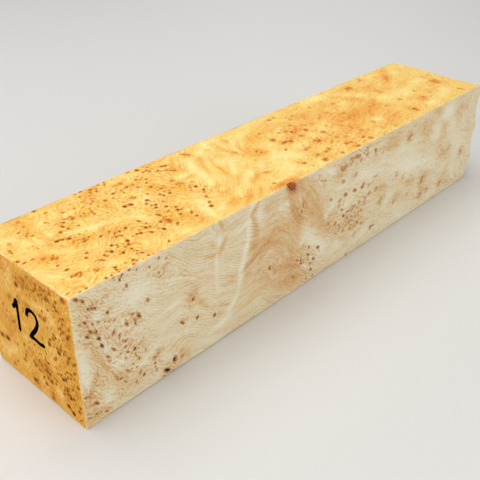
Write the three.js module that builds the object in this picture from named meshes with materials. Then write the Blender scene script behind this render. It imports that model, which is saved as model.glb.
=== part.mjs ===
// Burl turning blank: one length of burl wood planed square on four sides, in millimetres, +Z up.
// It lies on its planed base. The cleanly sawn end faces -X and the rough, broken end faces +X.
import * as THREE from "three";
import { mergeVertices } from "three/addons/utils/BufferGeometryUtils.js";

// Driving dimensions
const SECTION = 50.8; // side of the square section, planed to 2 in
const LENGTH = 245.8; // mean length, from the sawn end to the mean plane of the rough end
const LONG_ROUND = 0.9; // mean radius that handling has worn on the four long arrises
const LONG_ROUND_SWING = 0.4; // how far that radius varies along an arris
const SAWN_ROUND = 0.5; // radius on the arrises round the sawn end
const ROUGH_ROUND = 1.1; // radius on the arrises round the rough end
const OUT_OF_SQUARE = 1.6; // how much shorter the +Y side is than the -Y side
const ROUGH_REACH = 20; // length over which the rough end's waves fade out

// Trains of waves on the rough end: height and spacing, where a crest meets the -Y arris,
// heading in degrees from straight up, and how far the crests bend to and fro
const TRAINS = [
  { height: 1.05, pitch: 17.5, crest: 12, heading: 0, bend: 4.5 },
  { height: 0.5, pitch: 23, crest: 5, heading: 75, bend: 3 },
  { height: 0.35, pitch: 8.3, crest: 2.5, heading: -25, bend: 1.6 },
];
const BEND_PITCH = 52; // spacing of those bends
const TOP_DROP = { depth: 2.2, start: 38, ease: 0.6 }; // its top is broken back, less so towards +Y
const FOOT_DROP = { depth: 1.4, start: 5 }; // and its foot is chipped

// Grid of the surface: steps along the length and across the section
const LENGTH_STEPS = 42;
const SECTION_STEPS = 16;

const HALF = SECTION / 2;
const HALF_LENGTH = LENGTH / 2;

// How far a rounded arris and a rounded corner lie inside the sharp ones, as shares of the radius
const ARRIS_PULL = 1 - Math.SQRT1_2;
const CORNER_PULL = 1 - 1 / Math.sqrt(3);

const WOOD = new THREE.MeshStandardMaterial({ color: 0xe3b870, roughness: 0.55, metalness: 0 });

function smoothstep(t) {
  const s = THREE.MathUtils.clamp(t, 0, 1);
  return s * s * (3 - 2 * s);
}

// A closed cube from -1 to 1 whose faces are grids with shared vertices
function gridCube() {
  const cube = new THREE.BoxGeometry(2, 2, 2, LENGTH_STEPS, SECTION_STEPS, SECTION_STEPS);
  cube.deleteAttribute("normal");
  cube.deleteAttribute("uv");
  return mergeVertices(cube, 1e-5);
}

// Radius of a long arris at a place along it, a little different on each of the four
function longRound(x, sideY, sideZ) {
  const arris = sideY + 2 * sideZ;
  const swing = Math.sin(x / 17 + 2.1 * arris) * Math.cos(x / 6.3 + 1.3 * arris);
  return LONG_ROUND + LONG_ROUND_SWING * swing;
}

function endRound(sideX) {
  return sideX < 0 ? SAWN_ROUND : ROUGH_ROUND;
}

// Height of one train of waves at a place on the rough end, y from the -Y side and z from the base
function wave(train, y, z) {
  const heading = THREE.MathUtils.degToRad(train.heading);
  const ahead = z * Math.cos(heading) + y * Math.sin(heading);
  const aside = y * Math.cos(heading) - z * Math.sin(heading);
  const bend = train.bend * Math.sin((2 * Math.PI * aside) / BEND_PITCH);
  return train.height * Math.cos((2 * Math.PI * (ahead - train.crest + bend)) / train.pitch);
}

// How far the rough end stands out from its mean plane: waves, a broken top, a chipped foot
function roughEnd(y, z) {
  const across = (y + HALF) / SECTION;
  const waves = TRAINS.reduce((sum, train) => sum + wave(train, y + HALF, z), 0);
  const top = smoothstep((z - TOP_DROP.start) / (SECTION - TOP_DROP.start)) * (1 - TOP_DROP.ease * across);
  const foot = smoothstep((FOOT_DROP.start - z) / FOOT_DROP.start);
  return waves - TOP_DROP.depth * top - FOOT_DROP.depth * foot - OUT_OF_SQUARE * across;
}

// One axis of a grid point: on a face it is the face less the pull, elsewhere it is spread
// evenly between the two lines where the rounding of the arrises starts
function place(t, steps, half, round, pull) {
  const inner = 1 - 2 / steps;
  if (Math.abs(t) > (1 + inner) / 2) return Math.sign(t) * (half - pull * round);
  return (t / inner) * (half - round);
}

// Moves a point of the grid cube to its place on the blank
function toBlank(point) {
  const onFace = [point.x, point.y, point.z].filter((t) => Math.abs(t) > 1 - 1e-6).length;
  const pull = [0, 0, ARRIS_PULL, CORNER_PULL][onFace];
  const atEnd = Math.abs(point.x) > 1 - 1e-6;
  const lengthwise = place(point.x, LENGTH_STEPS, HALF_LENGTH, endRound(Math.sign(point.x)), 0);
  const long = longRound(lengthwise, Math.sign(point.y), Math.sign(point.z));
  const round = atEnd ? endRound(Math.sign(point.x)) : long;
  const x = place(point.x, LENGTH_STEPS, HALF_LENGTH, endRound(Math.sign(point.x)), pull);
  const y = place(point.y, SECTION_STEPS, HALF, round, pull);
  const z = place(point.z, SECTION_STEPS, HALF, round, pull) + HALF;
  const fade = smoothstep((x - HALF_LENGTH + ROUGH_REACH) / ROUGH_REACH);
  point.set(x + fade * roughEnd(y, z), y, z);
}

function burlBlank() {
  const geometry = gridCube();
  const positions = geometry.attributes.position;
  const point = new THREE.Vector3();
  for (let i = 0; i < positions.count; i += 1) {
    point.fromBufferAttribute(positions, i);
    toBlank(point);
    positions.setXYZ(i, point.x, point.y, point.z);
  }
  geometry.computeBoundingBox();
  const middle = geometry.boundingBox.getCenter(new THREE.Vector3());
  geometry.translate(-middle.x, -middle.y, -geometry.boundingBox.min.z);
  geometry.computeVertexNormals();
  const blank = new THREE.Mesh(geometry, WOOD);
  blank.name = "burl_blank";
  return blank;
}

const part = new THREE.Group();
part.add(burlBlank());

export default part;
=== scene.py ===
"""Dresses a burl turning blank: a square-planed length of burl wood that lies on a pale floor.

The blank grew as one piece, so it is one mesh. Its skin is laid out face by face in millimetres,
with a fan of triangles at each bud eye. Geometry Nodes then round the arrises, roughen the broken
end and sink the pits. The skin carries what the wood holds at each point, such as the height of its
growth surfaces, its eyes and its stains, and the material draws the figure from that.
"""

import logging
import math
import random
from collections.abc import Iterator
from dataclasses import dataclass, field, replace
from enum import Enum
from functools import partial
from itertools import product

import bpy
import numpy as np
from mathutils import Euler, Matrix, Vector, noise
from mathutils.geometry import delaunay_2d_cdt

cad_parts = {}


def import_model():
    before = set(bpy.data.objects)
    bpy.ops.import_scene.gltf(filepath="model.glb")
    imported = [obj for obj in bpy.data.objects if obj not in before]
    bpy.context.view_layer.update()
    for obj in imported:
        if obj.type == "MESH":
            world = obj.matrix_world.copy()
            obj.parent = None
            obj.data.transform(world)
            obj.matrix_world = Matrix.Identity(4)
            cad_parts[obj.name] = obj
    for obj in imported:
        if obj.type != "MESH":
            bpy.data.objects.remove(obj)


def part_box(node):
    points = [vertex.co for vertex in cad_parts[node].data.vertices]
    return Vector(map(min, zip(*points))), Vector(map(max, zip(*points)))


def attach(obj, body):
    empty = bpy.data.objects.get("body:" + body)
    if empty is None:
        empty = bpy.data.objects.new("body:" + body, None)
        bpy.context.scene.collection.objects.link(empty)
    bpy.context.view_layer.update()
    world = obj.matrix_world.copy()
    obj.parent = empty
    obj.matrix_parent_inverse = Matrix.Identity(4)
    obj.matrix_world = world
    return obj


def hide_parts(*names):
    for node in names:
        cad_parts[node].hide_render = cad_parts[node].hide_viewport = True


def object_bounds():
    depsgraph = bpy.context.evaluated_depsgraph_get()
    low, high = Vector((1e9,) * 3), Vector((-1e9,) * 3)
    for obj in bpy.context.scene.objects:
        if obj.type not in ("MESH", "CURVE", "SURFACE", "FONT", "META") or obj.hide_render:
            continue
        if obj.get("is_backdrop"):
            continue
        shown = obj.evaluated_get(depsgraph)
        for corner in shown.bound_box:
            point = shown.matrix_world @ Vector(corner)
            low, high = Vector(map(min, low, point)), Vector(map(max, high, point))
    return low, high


MM = 0.001
NODE = "burl_blank"
PIECE = "burl_blank_wood"
LOG = logging.getLogger("burl_blank")

Socket = bpy.types.NodeSocket
Rows = tuple[tuple[float, ...], ...]
Part = float | np.ndarray | Vector


def linear(hex_colour: str) -> tuple[float, float, float, float]:
    """Turns an sRGB hex colour into the linear colour that a shader socket takes.

    Args:
        hex_colour: six hex digits after a hash.

    Returns:
        Linear red, green and blue, and an alpha of 1.
    """
    parts = [int(hex_colour[i:i + 2], 16) / 255 for i in (1, 3, 5)]
    red, green, blue = [p / 12.92 if p <= 0.04045 else ((p + 0.055) / 1.055) ** 2.4 for p in parts]
    return (red, green, blue, 1.0)


def add(tree: bpy.types.NodeTree, kind: str, inputs: dict | None = None,
        stops: list[tuple[float, str]] | None = None, **settings: object) -> Socket | None:
    """Adds a node with its settings, its input values and the links into it.

    Args:
        tree: the node tree that gets the node.
        kind: the node's Blender type name.
        inputs: input name or number to a value, or to an output socket that is linked to it.
        stops: places and hex colours of a colour ramp.
        **settings: properties of the node.

    Returns:
        The first output that the settings leave in use, or None if the node has no output.
    """
    made = tree.nodes.new(kind)
    for name, value in settings.items():
        setattr(made, name, value)
    for key, value in (inputs or {}).items():
        if isinstance(value, Socket):
            tree.links.new(value, made.inputs[key])
        else:
            made.inputs[key].default_value = value
    if stops:
        ramp = made.color_ramp
        while len(ramp.elements) < len(stops):
            ramp.elements.new(1.0)
        for element, (place, colour) in zip(ramp.elements, stops):
            element.position = place
            element.color = linear(colour)
    return next((output for output in made.outputs if output.enabled), None)


def smoothstep(t: np.ndarray | float) -> np.ndarray | float:
    """Rises smoothly from 0 to 1 as t goes from 0 to 1."""
    s = np.clip(t, 0.0, 1.0)
    return s * s * (3.0 - 2.0 * s)


def turned(u: Part, v: Part, lean: float) -> tuple[Part, Part]:
    """Reads an offset in axes that are turned.

    Args:
        u: its part along the first axis, as a number, an array or a vector.
        v: its part along the second axis, of the same kind.
        lean: angle of the turned first axis from the first, in degrees.

    Returns:
        Its parts ahead along the turned first axis and aside along the turned second one.
    """
    cos, sin = math.cos(math.radians(lean)), math.sin(math.radians(lean))
    return u * cos + v * sin, v * cos - u * sin


class Side(Enum):
    """The six faces of the blank."""

    TOP = "top"
    NEAR = "near side"
    FAR = "far side"
    BASE = "base"
    SAWN = "sawn end"
    ROUGH = "rough end"


@dataclass(frozen=True)
class Panel:
    """One flat face before its arrises are rounded, in millimetres.

    u runs along the face and v up it, so that u, v and the outward normal are right-handed.

    Attributes:
        side: which face it is.
        corner: where u and v are 0.
        along: the direction of u.
        up: the direction of v.
        length: its extent along u.
        height: its extent along v.
        chart: place of its corner on the unrolled chart.
        golden: painted light, from 0, cool and pale as on the near side, to 1, warm and golden as on the
            top.
        amber: how far it is end grain, from 0 to 1, whose deeper look also paints some shade.
        spacing: mean distance between its plain points.
    """

    side: Side
    corner: Vector
    along: Vector
    up: Vector
    length: float
    height: float
    chart: tuple[float, float]
    golden: float
    amber: float
    spacing: float

    def at(self, u: float, v: float) -> Vector:
        """The point at u, v in the blank's frame."""
        return self.corner + self.along * u + self.up * v

    def flat(self, point: Vector) -> tuple[float, float]:
        """The u and v of a point on the face."""
        offset = point - self.corner
        return (offset.dot(self.along), offset.dot(self.up))

    def corners(self) -> list[Vector]:
        """The four corners, in order round the face."""
        return [self.at(u, v) for u, v in
                ((0, 0), (self.length, 0), (self.length, self.height), (0, self.height))]

    def inset(self, uv: np.ndarray) -> np.ndarray:
        """Distance of each place from the nearest arris."""
        u, v = uv.T
        return np.minimum.reduce([u, v, self.length - u, self.height - v])


# Bud eyes, as u, v, half-length, darkness from 0 to 1, then if they matter the
# length over the width and the lean of the length in degrees from u
EYES: dict[Side, Rows] = {Side.TOP: (
    (1.1, 26.7, 0.72, 0.9), (2.1, 24.6, 0.72, 0.8, 1.5, 20), (4.9, 24.5, 0.81, 0.7, 1.8, 10),
    (7.2, 22.4, 0.9, 0.6, 1.5, 30), (9.2, 20.5, 0.9, 0.85, 1.8, 45), (10.3, 19.7, 0.9, 0.75, 2, 35),
    (10.4, 21.9, 0.45, 0.7), (9, 30.9, 0.45, 0.7), (9.4, 28.5, 0.45, 0.6), (2.6, 33.5, 0.63, 0.7),
    (2.4, 32, 0.54, 0.8), (4.9, 37.1, 0.81, 0.5), (10.4, 41, 0.63, 0.65), (12.3, 38.6, 0.63, 0.6),
    (11.1, 37.4, 0.54, 0.8), (12.6, 36.2, 0.63, 0.75), (13.7, 43.3, 0.63, 0.6), (14, 47, 0.72, 0.55),
    (20, 40.3, 0.54, 0.8), (20.5, 39.3, 0.45, 0.55), (21.7, 49.6, 0.81, 0.9), (23.7, 45.8, 0.72, 0.65),
    (27.9, 41.9, 0.72, 0.7), (32.1, 41.3, 0.63, 0.6), (15.9, 27.9, 0.81, 1, 1.3, 20), (16.9, 28, 0.36, 0.9),
    (17.7, 27.4, 0.72, 0.95, 1.4, 40), (19.5, 26.5, 0.81, 1), (20.5, 27.4, 0.36, 0.6),
    (23.3, 26.3, 0.54, 0.65), (25.9, 26.6, 0.45, 0.35), (20, 31.7, 0.77, 0.9),
    (23, 31.8, 0.68, 0.85, 1.4, 60), (22.4, 34.1, 0.68, 0.95), (26.4, 31, 0.54, 0.85),
    (23.6, 30.6, 0.45, 0.5), (24.2, 36, 0.63, 0.95, 1.6, 45), (23.6, 36.8, 0.45, 0.7),
    (21.6, 36.8, 0.36, 0.6), (25.5, 37.6, 0.45, 0.85), (26.4, 37.3, 0.45, 0.65), (28, 37.8, 0.5, 0.85),
    (27.6, 36, 1.08, 0.85, 1.6, 45), (28.9, 36.6, 0.36, 0.5), (30.6, 35.6, 0.59, 0.9, 1.6, 60),
    (32.4, 36.4, 0.63, 0.75, 1.6, 60), (34.9, 35.3, 0.81, 0.8, 2, 35), (33.3, 34.5, 0.54, 0.6, 2, 20),
    (34.7, 33.5, 0.59, 0.8), (34.7, 40, 0.45, 0.6), (35.5, 37.4, 0.72, 0.65, 2, 70),
    (38.8, 36.8, 0.72, 0.6, 2, 30), (37.9, 39.9, 0.54, 0.8), (39.6, 41, 0.9, 0.6, 2.2, 70),
    (41.2, 42, 0.54, 0.5, 2, 60), (36.6, 43.1, 0.45, 0.65), (40.4, 42.8, 0.72, 0.7, 2, -30),
    (38.9, 44.3, 0.54, 0.45), (41.3, 45, 0.45, 0.85), (38.4, 46.8, 0.72, 0.8, 1.5, 40),
    (38.3, 49.4, 0.54, 0.75), (40.8, 49.8, 0.81, 1, 1.6, 20), (42.9, 38.3, 0.77, 0.85),
    (40.8, 34, 1.62, 0.6, 2.4, 80), (38.2, 31.1, 0.45, 0.75), (19.4, 24, 0.45, 0.65), (20.6, 24, 0.36, 0.6),
    (22.7, 23.1, 0.63, 0.85, 1.6, 15), (24.3, 22.7, 0.54, 0.85, 1.4, 60), (21.8, 21.6, 0.72, 0.95, 1.5, 0),
    (23, 21.7, 0.45, 0.8), (20, 22, 0.36, 0.55), (21.4, 23.5, 0.36, 0.55),
    (27.2, 20.4, 0.72, 0.95, 1.6, 40), (30.7, 20.6, 0.85, 0.85, 2, 40), (31.7, 19, 0.54, 0.85, 1.6, 60),
    (31, 18.2, 0.63, 0.8, 2.2, 30), (33.2, 18.5, 0.59, 1, 1.4, 80), (35.9, 18.7, 0.72, 1, 1.3, 60),
    (29.2, 17.1, 0.45, 0.75), (30.5, 16.6, 0.5, 0.95), (31.6, 16.5, 0.36, 0.85), (32.1, 15.8, 0.59, 0.95),
    (41.7, 18.9, 0.81, 1, 1.7, -70), (42.4, 16.1, 0.45, 0.8), (40.2, 15.6, 0.45, 0.85),
    (40.6, 14.3, 0.68, 0.95), (41.9, 13.6, 0.59, 1, 1.5, 50), (38.2, 14.8, 0.36, 0.5),
    (8.1, 16.2, 0.63, 0.85, 1.4, 25), (8.7, 12.4, 0.81, 0.95, 1.5, 5), (18.3, 15.7, 0.63, 0.85),
    (16.5, 13.5, 0.68, 0.9, 1.2, 50), (26.1, 13.6, 0.63, 1), (27.5, 12.6, 0.54, 0.85, 1.4, 60),
    (27, 11.4, 0.54, 0.8, 1.6, 20), (23, 11.9, 0.54, 0.75), (21.2, 10.8, 0.59, 0.95, 1.4, 40),
    (21.5, 9.7, 0.59, 0.75, 1.5, 30), (24, 10.7, 0.77, 1, 1.5, 60), (31.3, 12.2, 0.77, 1, 1.2, 80),
    (30.3, 10.3, 0.63, 0.95), (28.5, 9.9, 0.54, 0.65), (34.3, 13.1, 0.45, 0.75),
    (35.9, 13.1, 0.59, 1, 1.4, 70), (37.3, 12.7, 0.72, 1), (40.1, 10.8, 0.9, 1, 1.8, -65),
    (43.2, 11, 0.54, 0.7, 1.4, 50), (44.1, 9.3, 0.85, 1, 1.4, 80), (19, 9.1, 1.08, 0.85, 2.4, -55),
    (26, 7.8, 0.68, 1), (25, 7.8, 0.54, 0.65, 1.6, 0), (29.3, 7.7, 0.54, 0.95), (29.7, 5.6, 0.41, 1),
    (28.7, 4.3, 0.45, 0.75), (30, 3.6, 0.68, 0.95, 1.5, -60), (7.6, 8.5, 0.81, 0.75, 2, 50),
    (9.2, 8.4, 0.99, 0.85, 2.2, 30), (10.5, 8.2, 0.9, 0.85, 2, 80), (9.5, 6.9, 0.99, 0.75, 2.6, 25),
    (14.3, 6.6, 0.54, 0.8, 1.6, 45), (14.6, 5.6, 0.72, 0.85, 2, 20), (15.4, 6.3, 0.45, 0.65, 1.5, 45),
    (12.9, 7.6, 0.45, 0.45, 2, 45), (1.8, 2.4, 0.9, 0.6, 2.4, 20), (19.3, 3.2, 0.59, 1),
    (18.7, 2, 0.45, 0.95), (19.6, 1.1, 0.36, 0.65), (22.8, 2.8, 0.45, 0.65), (25.5, 2.4, 0.63, 0.9),
    (26.1, 1.4, 0.45, 0.75), (30.4, 1.1, 0.54, 0.85), (40.2, 2.6, 0.77, 0.9, 1.8, 50),
    (7.1, 0.6, 0.54, 0.9), (14, 0.7, 0.54, 0.95), (16, 0.5, 0.45, 1), (18.5, 0.5, 0.45, 0.85),
    (24.3, 0.6, 0.54, 0.9), (4.7, 0.5, 0.45, 0.8), (28, 0.5, 0.36, 0.7), (32, 0.5, 0.36, 0.7),
    (44.1, 48.5, 0.81, 0.85), (42.8, 46.6, 0.72, 0.85, 1.4, 80), (45.1, 46.1, 0.68, 0.9, 1.5, 50),
    (46.3, 47.7, 0.45, 0.75), (48.2, 49.5, 0.54, 0.75), (51, 49.6, 0.54, 0.7),
    (50, 47.9, 0.81, 0.75, 2, 50), (54.5, 49.4, 0.54, 0.65, 2, 50), (46.4, 42.2, 0.45, 0.65),
    (54.6, 44.5, 1.08, 0.75, 2, 80), (52.3, 44.5, 1.17, 0.35, 2, 10), (47.9, 40.3, 0.72, 0.95),
    (49.6, 40.6, 0.54, 0.65, 2, 60), (51.3, 40.3, 0.54, 0.65), (54.4, 40.7, 1.08, 0.85, 2, 15),
    (57, 40.6, 0.72, 0.7), (51, 38.1, 0.54, 0.8, 1.4, 30), (45.9, 37.6, 0.63, 0.7, 1.4, 50),
    (57, 37.6, 0.68, 0.85, 1.5, 45), (58.2, 37, 0.54, 0.65, 2, 60), (61.4, 38.2, 0.68, 0.9, 1.5, 50),
    (60.4, 34.6, 0.99, 0.8, 1.5, 40), (63.2, 40.5, 0.7, 0.85), (60.3, 42.8, 0.68, 0.9, 1.3, 20),
    (61.5, 41.8, 0.54, 0.7, 1.4, 50), (62.4, 44.4, 0.7, 0.5), (56.2, 31.4, 0.68, 0.9, 1.5, 50),
    (51.4, 32.5, 0.59, 0.85, 1.5, 45), (50.3, 33.4, 0.72, 0.5), (46.2, 32.9, 0.45, 0.45),
    (60.3, 30.9, 0.54, 0.65), (62.1, 31, 0.7, 0.85), (64.1, 32, 0.9, 0.6, 1.6, -80),
    (61.4, 28.5, 0.63, 0.75, 1.6, 60), (59, 27.9, 0.72, 0.8), (59.4, 26.6, 0.72, 0.95, 1.4, 60),
    (62.1, 26.3, 0.75, 0.95, 1.3, 35), (63.2, 27.8, 0.6, 0.65), (44.9, 30.1, 0.9, 1),
    (47.2, 29.6, 0.9, 1, 1.3, 80), (52.9, 28.1, 0.77, 1, 1.3, 40), (53.6, 27.3, 0.36, 0.75),
    (51.1, 26.1, 0.68, 0.95, 1.3, 60), (53.9, 25.5, 0.45, 0.5), (51.5, 24, 0.5, 0.95, 1.4, 40),
    (53, 23.5, 0.63, 1, 1.3, 20), (51.7, 21.8, 0.68, 1), (50.6, 21.9, 0.54, 0.65, 2, 5),
    (56.2, 23.4, 0.59, 0.8), (54.6, 19.9, 0.68, 0.95), (48.9, 17.4, 0.99, 0.9, 1.5, -70),
    (52.8, 17, 1.08, 0.65, 2, 30), (56.7, 17.3, 0.63, 1, 1.3, 30), (55.6, 15.3, 0.85, 1, 1.8, 65),
    (56.9, 14.8, 0.63, 0.85, 1.6, 45), (48.9, 15, 0.59, 0.8, 1.7, 50), (50, 14.9, 0.45, 0.75),
    (46.5, 13.6, 0.81, 0.95, 1.5, 60), (48.3, 13.4, 0.54, 0.8), (48.8, 12.1, 1.26, 0.85, 1.5, 50),
    (48.4, 10.9, 0.54, 0.65), (54.4, 12.6, 0.72, 1, 1.5, 60), (58.1, 11.1, 0.54, 1),
    (57.2, 10.3, 0.45, 0.85), (57.3, 7.8, 0.68, 1, 1.4, 5), (49.7, 8.9, 0.85, 0.9, 2, 20),
    (49, 8.2, 0.81, 0.65, 2, 75), (69, 32.7, 0.9, 0.75, 1.3, -20), (68, 29.4, 0.6, 0.85, 1.5, 45),
    (69.3, 29.4, 0.5, 0.65), (70.2, 28.5, 0.5, 0.75), (67.9, 27.5, 0.6, 0.65, 1.5, 45),
    (71.8, 23.3, 0.85, 1, 1.3, 60), (68.5, 22.2, 0.5, 0.55), (72.1, 19.5, 0.65, 1), (70.9, 18.1, 0.6, 0.7),
    (69, 15.2, 0.65, 0.9), (67, 11.6, 0.9, 0.85, 1.8, 50), (73.3, 17, 0.7, 0.6, 2, 60),
    (74.1, 20.7, 0.7, 0.5), (69.9, 24.3, 1.1, 0.6, 2.6, 60), (73.4, 26.7, 0.8, 0.6, 1.6, -60),
    (65.6, 48.6, 0.9, 0.95), (66.1, 45.6, 0.65, 0.85, 1.4, 60), (67.9, 45.9, 0.75, 0.85, 1.6, 30),
    (68.3, 44.4, 1, 0.8, 2, 60), (69.9, 47.8, 0.6, 0.75), (71, 42.7, 0.75, 0.85, 1.7, 45),
    (71.5, 41.5, 0.6, 0.75, 1.4, 40), (69.5, 42.6, 0.7, 0.5, 2, 50), (72.9, 40.9, 0.5, 0.65),
    (73.5, 40.4, 0.55, 0.85), (74.3, 39.3, 0.65, 0.75, 1.4, 60), (75.3, 38.2, 0.65, 0.85),
    (74.3, 44.4, 1, 0.85, 1.4, -20), (75.6, 43.8, 0.75, 1), (62.2, 49.7, 1, 0.5, 1.6, 60),
    (87.4, 46.2, 1.3, 0.85, 2.2, -50), (88.4, 44.6, 0.9, 0.8, 2, 80), (109, 27.2, 0.75, 0.95, 2, 45),
    (109.9, 25.4, 0.8, 0.75, 1.5, 45), (118.5, 20.2, 0.9, 0.8, 1.5, 35), (113.9, 7.2, 1.1, 0.8, 1.5, 10),
    (112.7, 8.5, 0.9, 0.45, 2, -70), (93.2, 4.5, 0.8, 0.7, 1.4, -10), (97.9, 12.3, 1.3, 0.4, 1.8, -30),
    (102.3, 33, 1, 0.35), (107.9, 43, 1.2, 0.35, 2, 80), (96.7, 42.6, 1, 0.3), (102.9, 22.3, 0.6, 0.45),
    (122, 30.1, 1.3, 0.85), (123.1, 24.9, 1.5, 0.85), (126.3, 24, 1.1, 0.9),
    (134, 30.3, 1.7, 0.85, 1.6, 55), (132.1, 32, 0.9, 0.65), (129.3, 32.8, 0.8, 0.7),
    (139.7, 27, 1.2, 0.85), (133.4, 24.6, 1.1, 0.65), (123.1, 38.5, 1, 0.65, 1.6, 35),
    (138.9, 34.7, 1, 0.55), (137, 45.1, 1.1, 0.65), (140.5, 45.6, 0.9, 0.6), (144.1, 39.1, 1.1, 0.5),
    (148.2, 41.3, 1.4, 0.45), (143.5, 30.3, 0.9, 0.45), (146.8, 29.2, 1.8, 0.5, 2.5, 25),
    (160.5, 41.5, 1.4, 0.45), (161.6, 32, 1.5, 0.5), (134.3, 16.1, 1.9, 0.9, 1.5, -10),
    (143, 20.2, 1.2, 0.7), (124.1, 14.5, 1, 0.7, 1.4, 40), (126.6, 14.8, 0.8, 0.65),
    (137.5, 11.5, 1.9, 0.75, 3, 30), (142.5, 13.1, 1, 0.55), (123.3, 8.2, 1.5, 0.9, 1.5, 60),
    (128.2, 7.4, 0.9, 0.75), (131, 8.2, 1.3, 0.75, 1.6, 60), (122, 3.3, 1.3, 0.85), (114.6, 3.6, 1, 0.3),
    (131.8, 2.2, 1, 0.7), (140.3, 6.3, 1.1, 0.8), (142.7, 5.7, 0.8, 0.75), (141.6, 1.6, 1.5, 0.8, 1.6, 50),
    (150.1, 5.2, 1.5, 0.75, 1.4, 60), (151.8, 2.5, 1.3, 0.7), (155.6, 15, 1.6, 0.6, 1.5, 40),
    (145.2, 16.7, 2, 0.45, 3, 30), (153.9, 18.6, 1, 0.45), (145.7, 10.4, 1.1, 0.45),
    (193.7, 43.2, 2.4, 0.8), (192.6, 6, 2.1, 0.75, 1.6, -70), (207.3, 46.4, 1.9, 0.5),
    (219.9, 39.3, 3.2, 0.5, 3, 35), (233.5, 18.6, 3.2, 0.5, 1.3, 40), (232.5, 4.4, 1.9, 0.5),
    (198.6, 18, 1.2, 0.55), (208.4, 11.5, 1.8, 0.55), (216.9, 12.6, 1.6, 0.5), (214.1, 18.9, 1.6, 0.45),
    (235.2, 26.8, 1.6, 0.45), (199.7, 29.8, 1.7, 0.45), (172.3, 36.9, 1.2, 0.45),
    (187.1, 18, 2.4, 0.45, 3, 15), (166.3, 26.5, 1.1, 0.55), (166.9, 11.5, 1.2, 0.5),
    (164.7, 4.4, 1.4, 0.45),
), Side.NEAR: (
    (2.6, 49.3, 1.21, 0.9, 2, -50), (4.7, 47.6, 1.02, 0.9, 2, -60), (6.1, 44.2, 0.74, 0.95, 1.8, -60),
    (7.4, 43.7, 0.79, 0.9, 2, -65), (8.6, 43.1, 0.7, 0.95, 2, -70), (5.4, 41.5, 0.56, 0.75, 1.7, -60),
    (2.7, 40.2, 0.74, 0.65, 2, -50), (4.5, 40.1, 0.93, 0.95, 2, -55), (7, 38.2, 0.65, 0.8, 1.5, -60),
    (9, 38, 0.65, 0.7, 1.5, -40), (12.6, 39.4, 0.74, 0.95, 1.4, -60), (11.3, 36.7, 0.47, 0.65),
    (6, 35.9, 1.21, 0.9, 2.2, -60), (4.6, 34.8, 1.12, 0.95, 2.2, -50), (7.9, 34.8, 0.74, 0.95, 1.5, -80),
    (8.5, 32, 0.88, 1, 1.3, -50), (9.3, 28.7, 1.12, 1, 2, -65), (14, 31, 1.12, 0.85, 2, 70),
    (14.7, 35.3, 0.74, 0.6, 1.7, 60), (16, 28.8, 0.56, 0.9), (15.9, 27.6, 0.47, 0.75),
    (17, 26, 0.56, 0.75, 1.4, 80), (18.1, 25.2, 0.56, 0.95), (17.8, 23.1, 0.56, 0.85),
    (13.4, 24.8, 1.21, 0.85, 2.5, -50), (11.1, 23.3, 1.12, 0.85, 2.6, -45),
    (11.4, 21.3, 0.84, 0.7, 2.4, -40), (15.7, 21.5, 0.56, 0.65, 1.5, -30),
    (18.5, 20.6, 0.65, 0.9, 1.4, -50), (21.3, 20.2, 0.74, 1, 1.2, 45), (21.4, 18.1, 0.42, 0.9),
    (21.6, 17.1, 0.56, 0.8, 1.8, -70), (17.6, 18.6, 0.65, 0.65, 1.5, -60),
    (22.6, 15.3, 0.65, 0.85, 1.5, -80), (20.1, 14.6, 0.56, 0.8, 1.6, -60), (25.5, 17.2, 1.21, 0.5, 3, -85),
    (17.7, 13.2, 1.3, 0.75, 3, -45), (13, 13.8, 0.93, 0.5, 1.6, -60), (13.6, 12.4, 0.84, 0.6, 1.7, -55),
    (14.9, 11.8, 0.6, 0.9), (16.4, 9.6, 0.65, 0.75, 1.5, -30), (21.5, 12.4, 0.65, 0.75, 1.7, 20),
    (1.4, 12.9, 0.93, 0.85, 2.2, -25), (2.6, 12.4, 0.65, 0.7, 1.7, -25), (4.9, 8.2, 1.3, 0.95, 2.4, -50),
    (3.4, 8.5, 0.56, 0.5, 1.7, -30), (22.7, 9.3, 0.84, 0.75, 1.5, 60), (24.1, 7.5, 0.79, 0.9, 1.3, 70),
    (20.9, 6.5, 0.84, 0.75, 2, 70), (1.6, 4.1, 0.84, 0.75, 2, -25), (4.4, 4, 0.65, 0.9, 1.6, -20),
    (6.1, 3.6, 0.47, 0.7), (8.2, 2.4, 0.74, 0.9, 1.8, -25), (29, 11.8, 0.84, 0.75, 2.2, -40),
    (28.2, 11.3, 0.37, 0.6), (30.7, 12.4, 0.65, 0.6), (29, 9.2, 0.56, 0.95), (28.9, 7.5, 0.47, 0.8),
    (27.5, 6.4, 0.37, 0.65), (29.5, 6, 0.56, 0.8), (32.4, 1.2, 0.65, 0.8, 1.8, -40), (36.8, 0.7, 0.65, 0.8),
    (41, 4.6, 0.84, 0.6), (19.1, 31.4, 1.21, 0.9, 2.2, -65), (21.6, 33.8, 0.65, 0.85, 1.3, -20),
    (22.5, 30.4, 1.49, 0.85, 2.2, -60), (24, 31.8, 1.3, 0.95, 2, -60), (28, 35.8, 0.79, 0.8, 1.3, -60),
    (33.2, 43.5, 0.56, 0.7), (33.5, 42, 0.56, 0.75, 1.7, 0), (20.4, 45.2, 0.79, 0.85, 1.5, -75),
    (18.1, 48.4, 0.79, 1, 2, -70), (19, 49.6, 0.56, 0.9), (24.6, 48.9, 0.47, 0.8),
    (29.6, 47.3, 0.65, 0.7, 1.5, -60), (33.4, 48.9, 0.47, 0.9), (36.4, 47.3, 0.56, 0.7),
    (22, 50.2, 0.56, 0.9), (16, 50.3, 0.47, 0.85), (41.4, 19.2, 0.74, 0.95, 1.4, -50),
    (42.3, 18.4, 0.7, 0.9, 1.2, -50), (48.8, 17.1, 0.8, 0.95), (57.1, 13.4, 0.8, 0.95),
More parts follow.
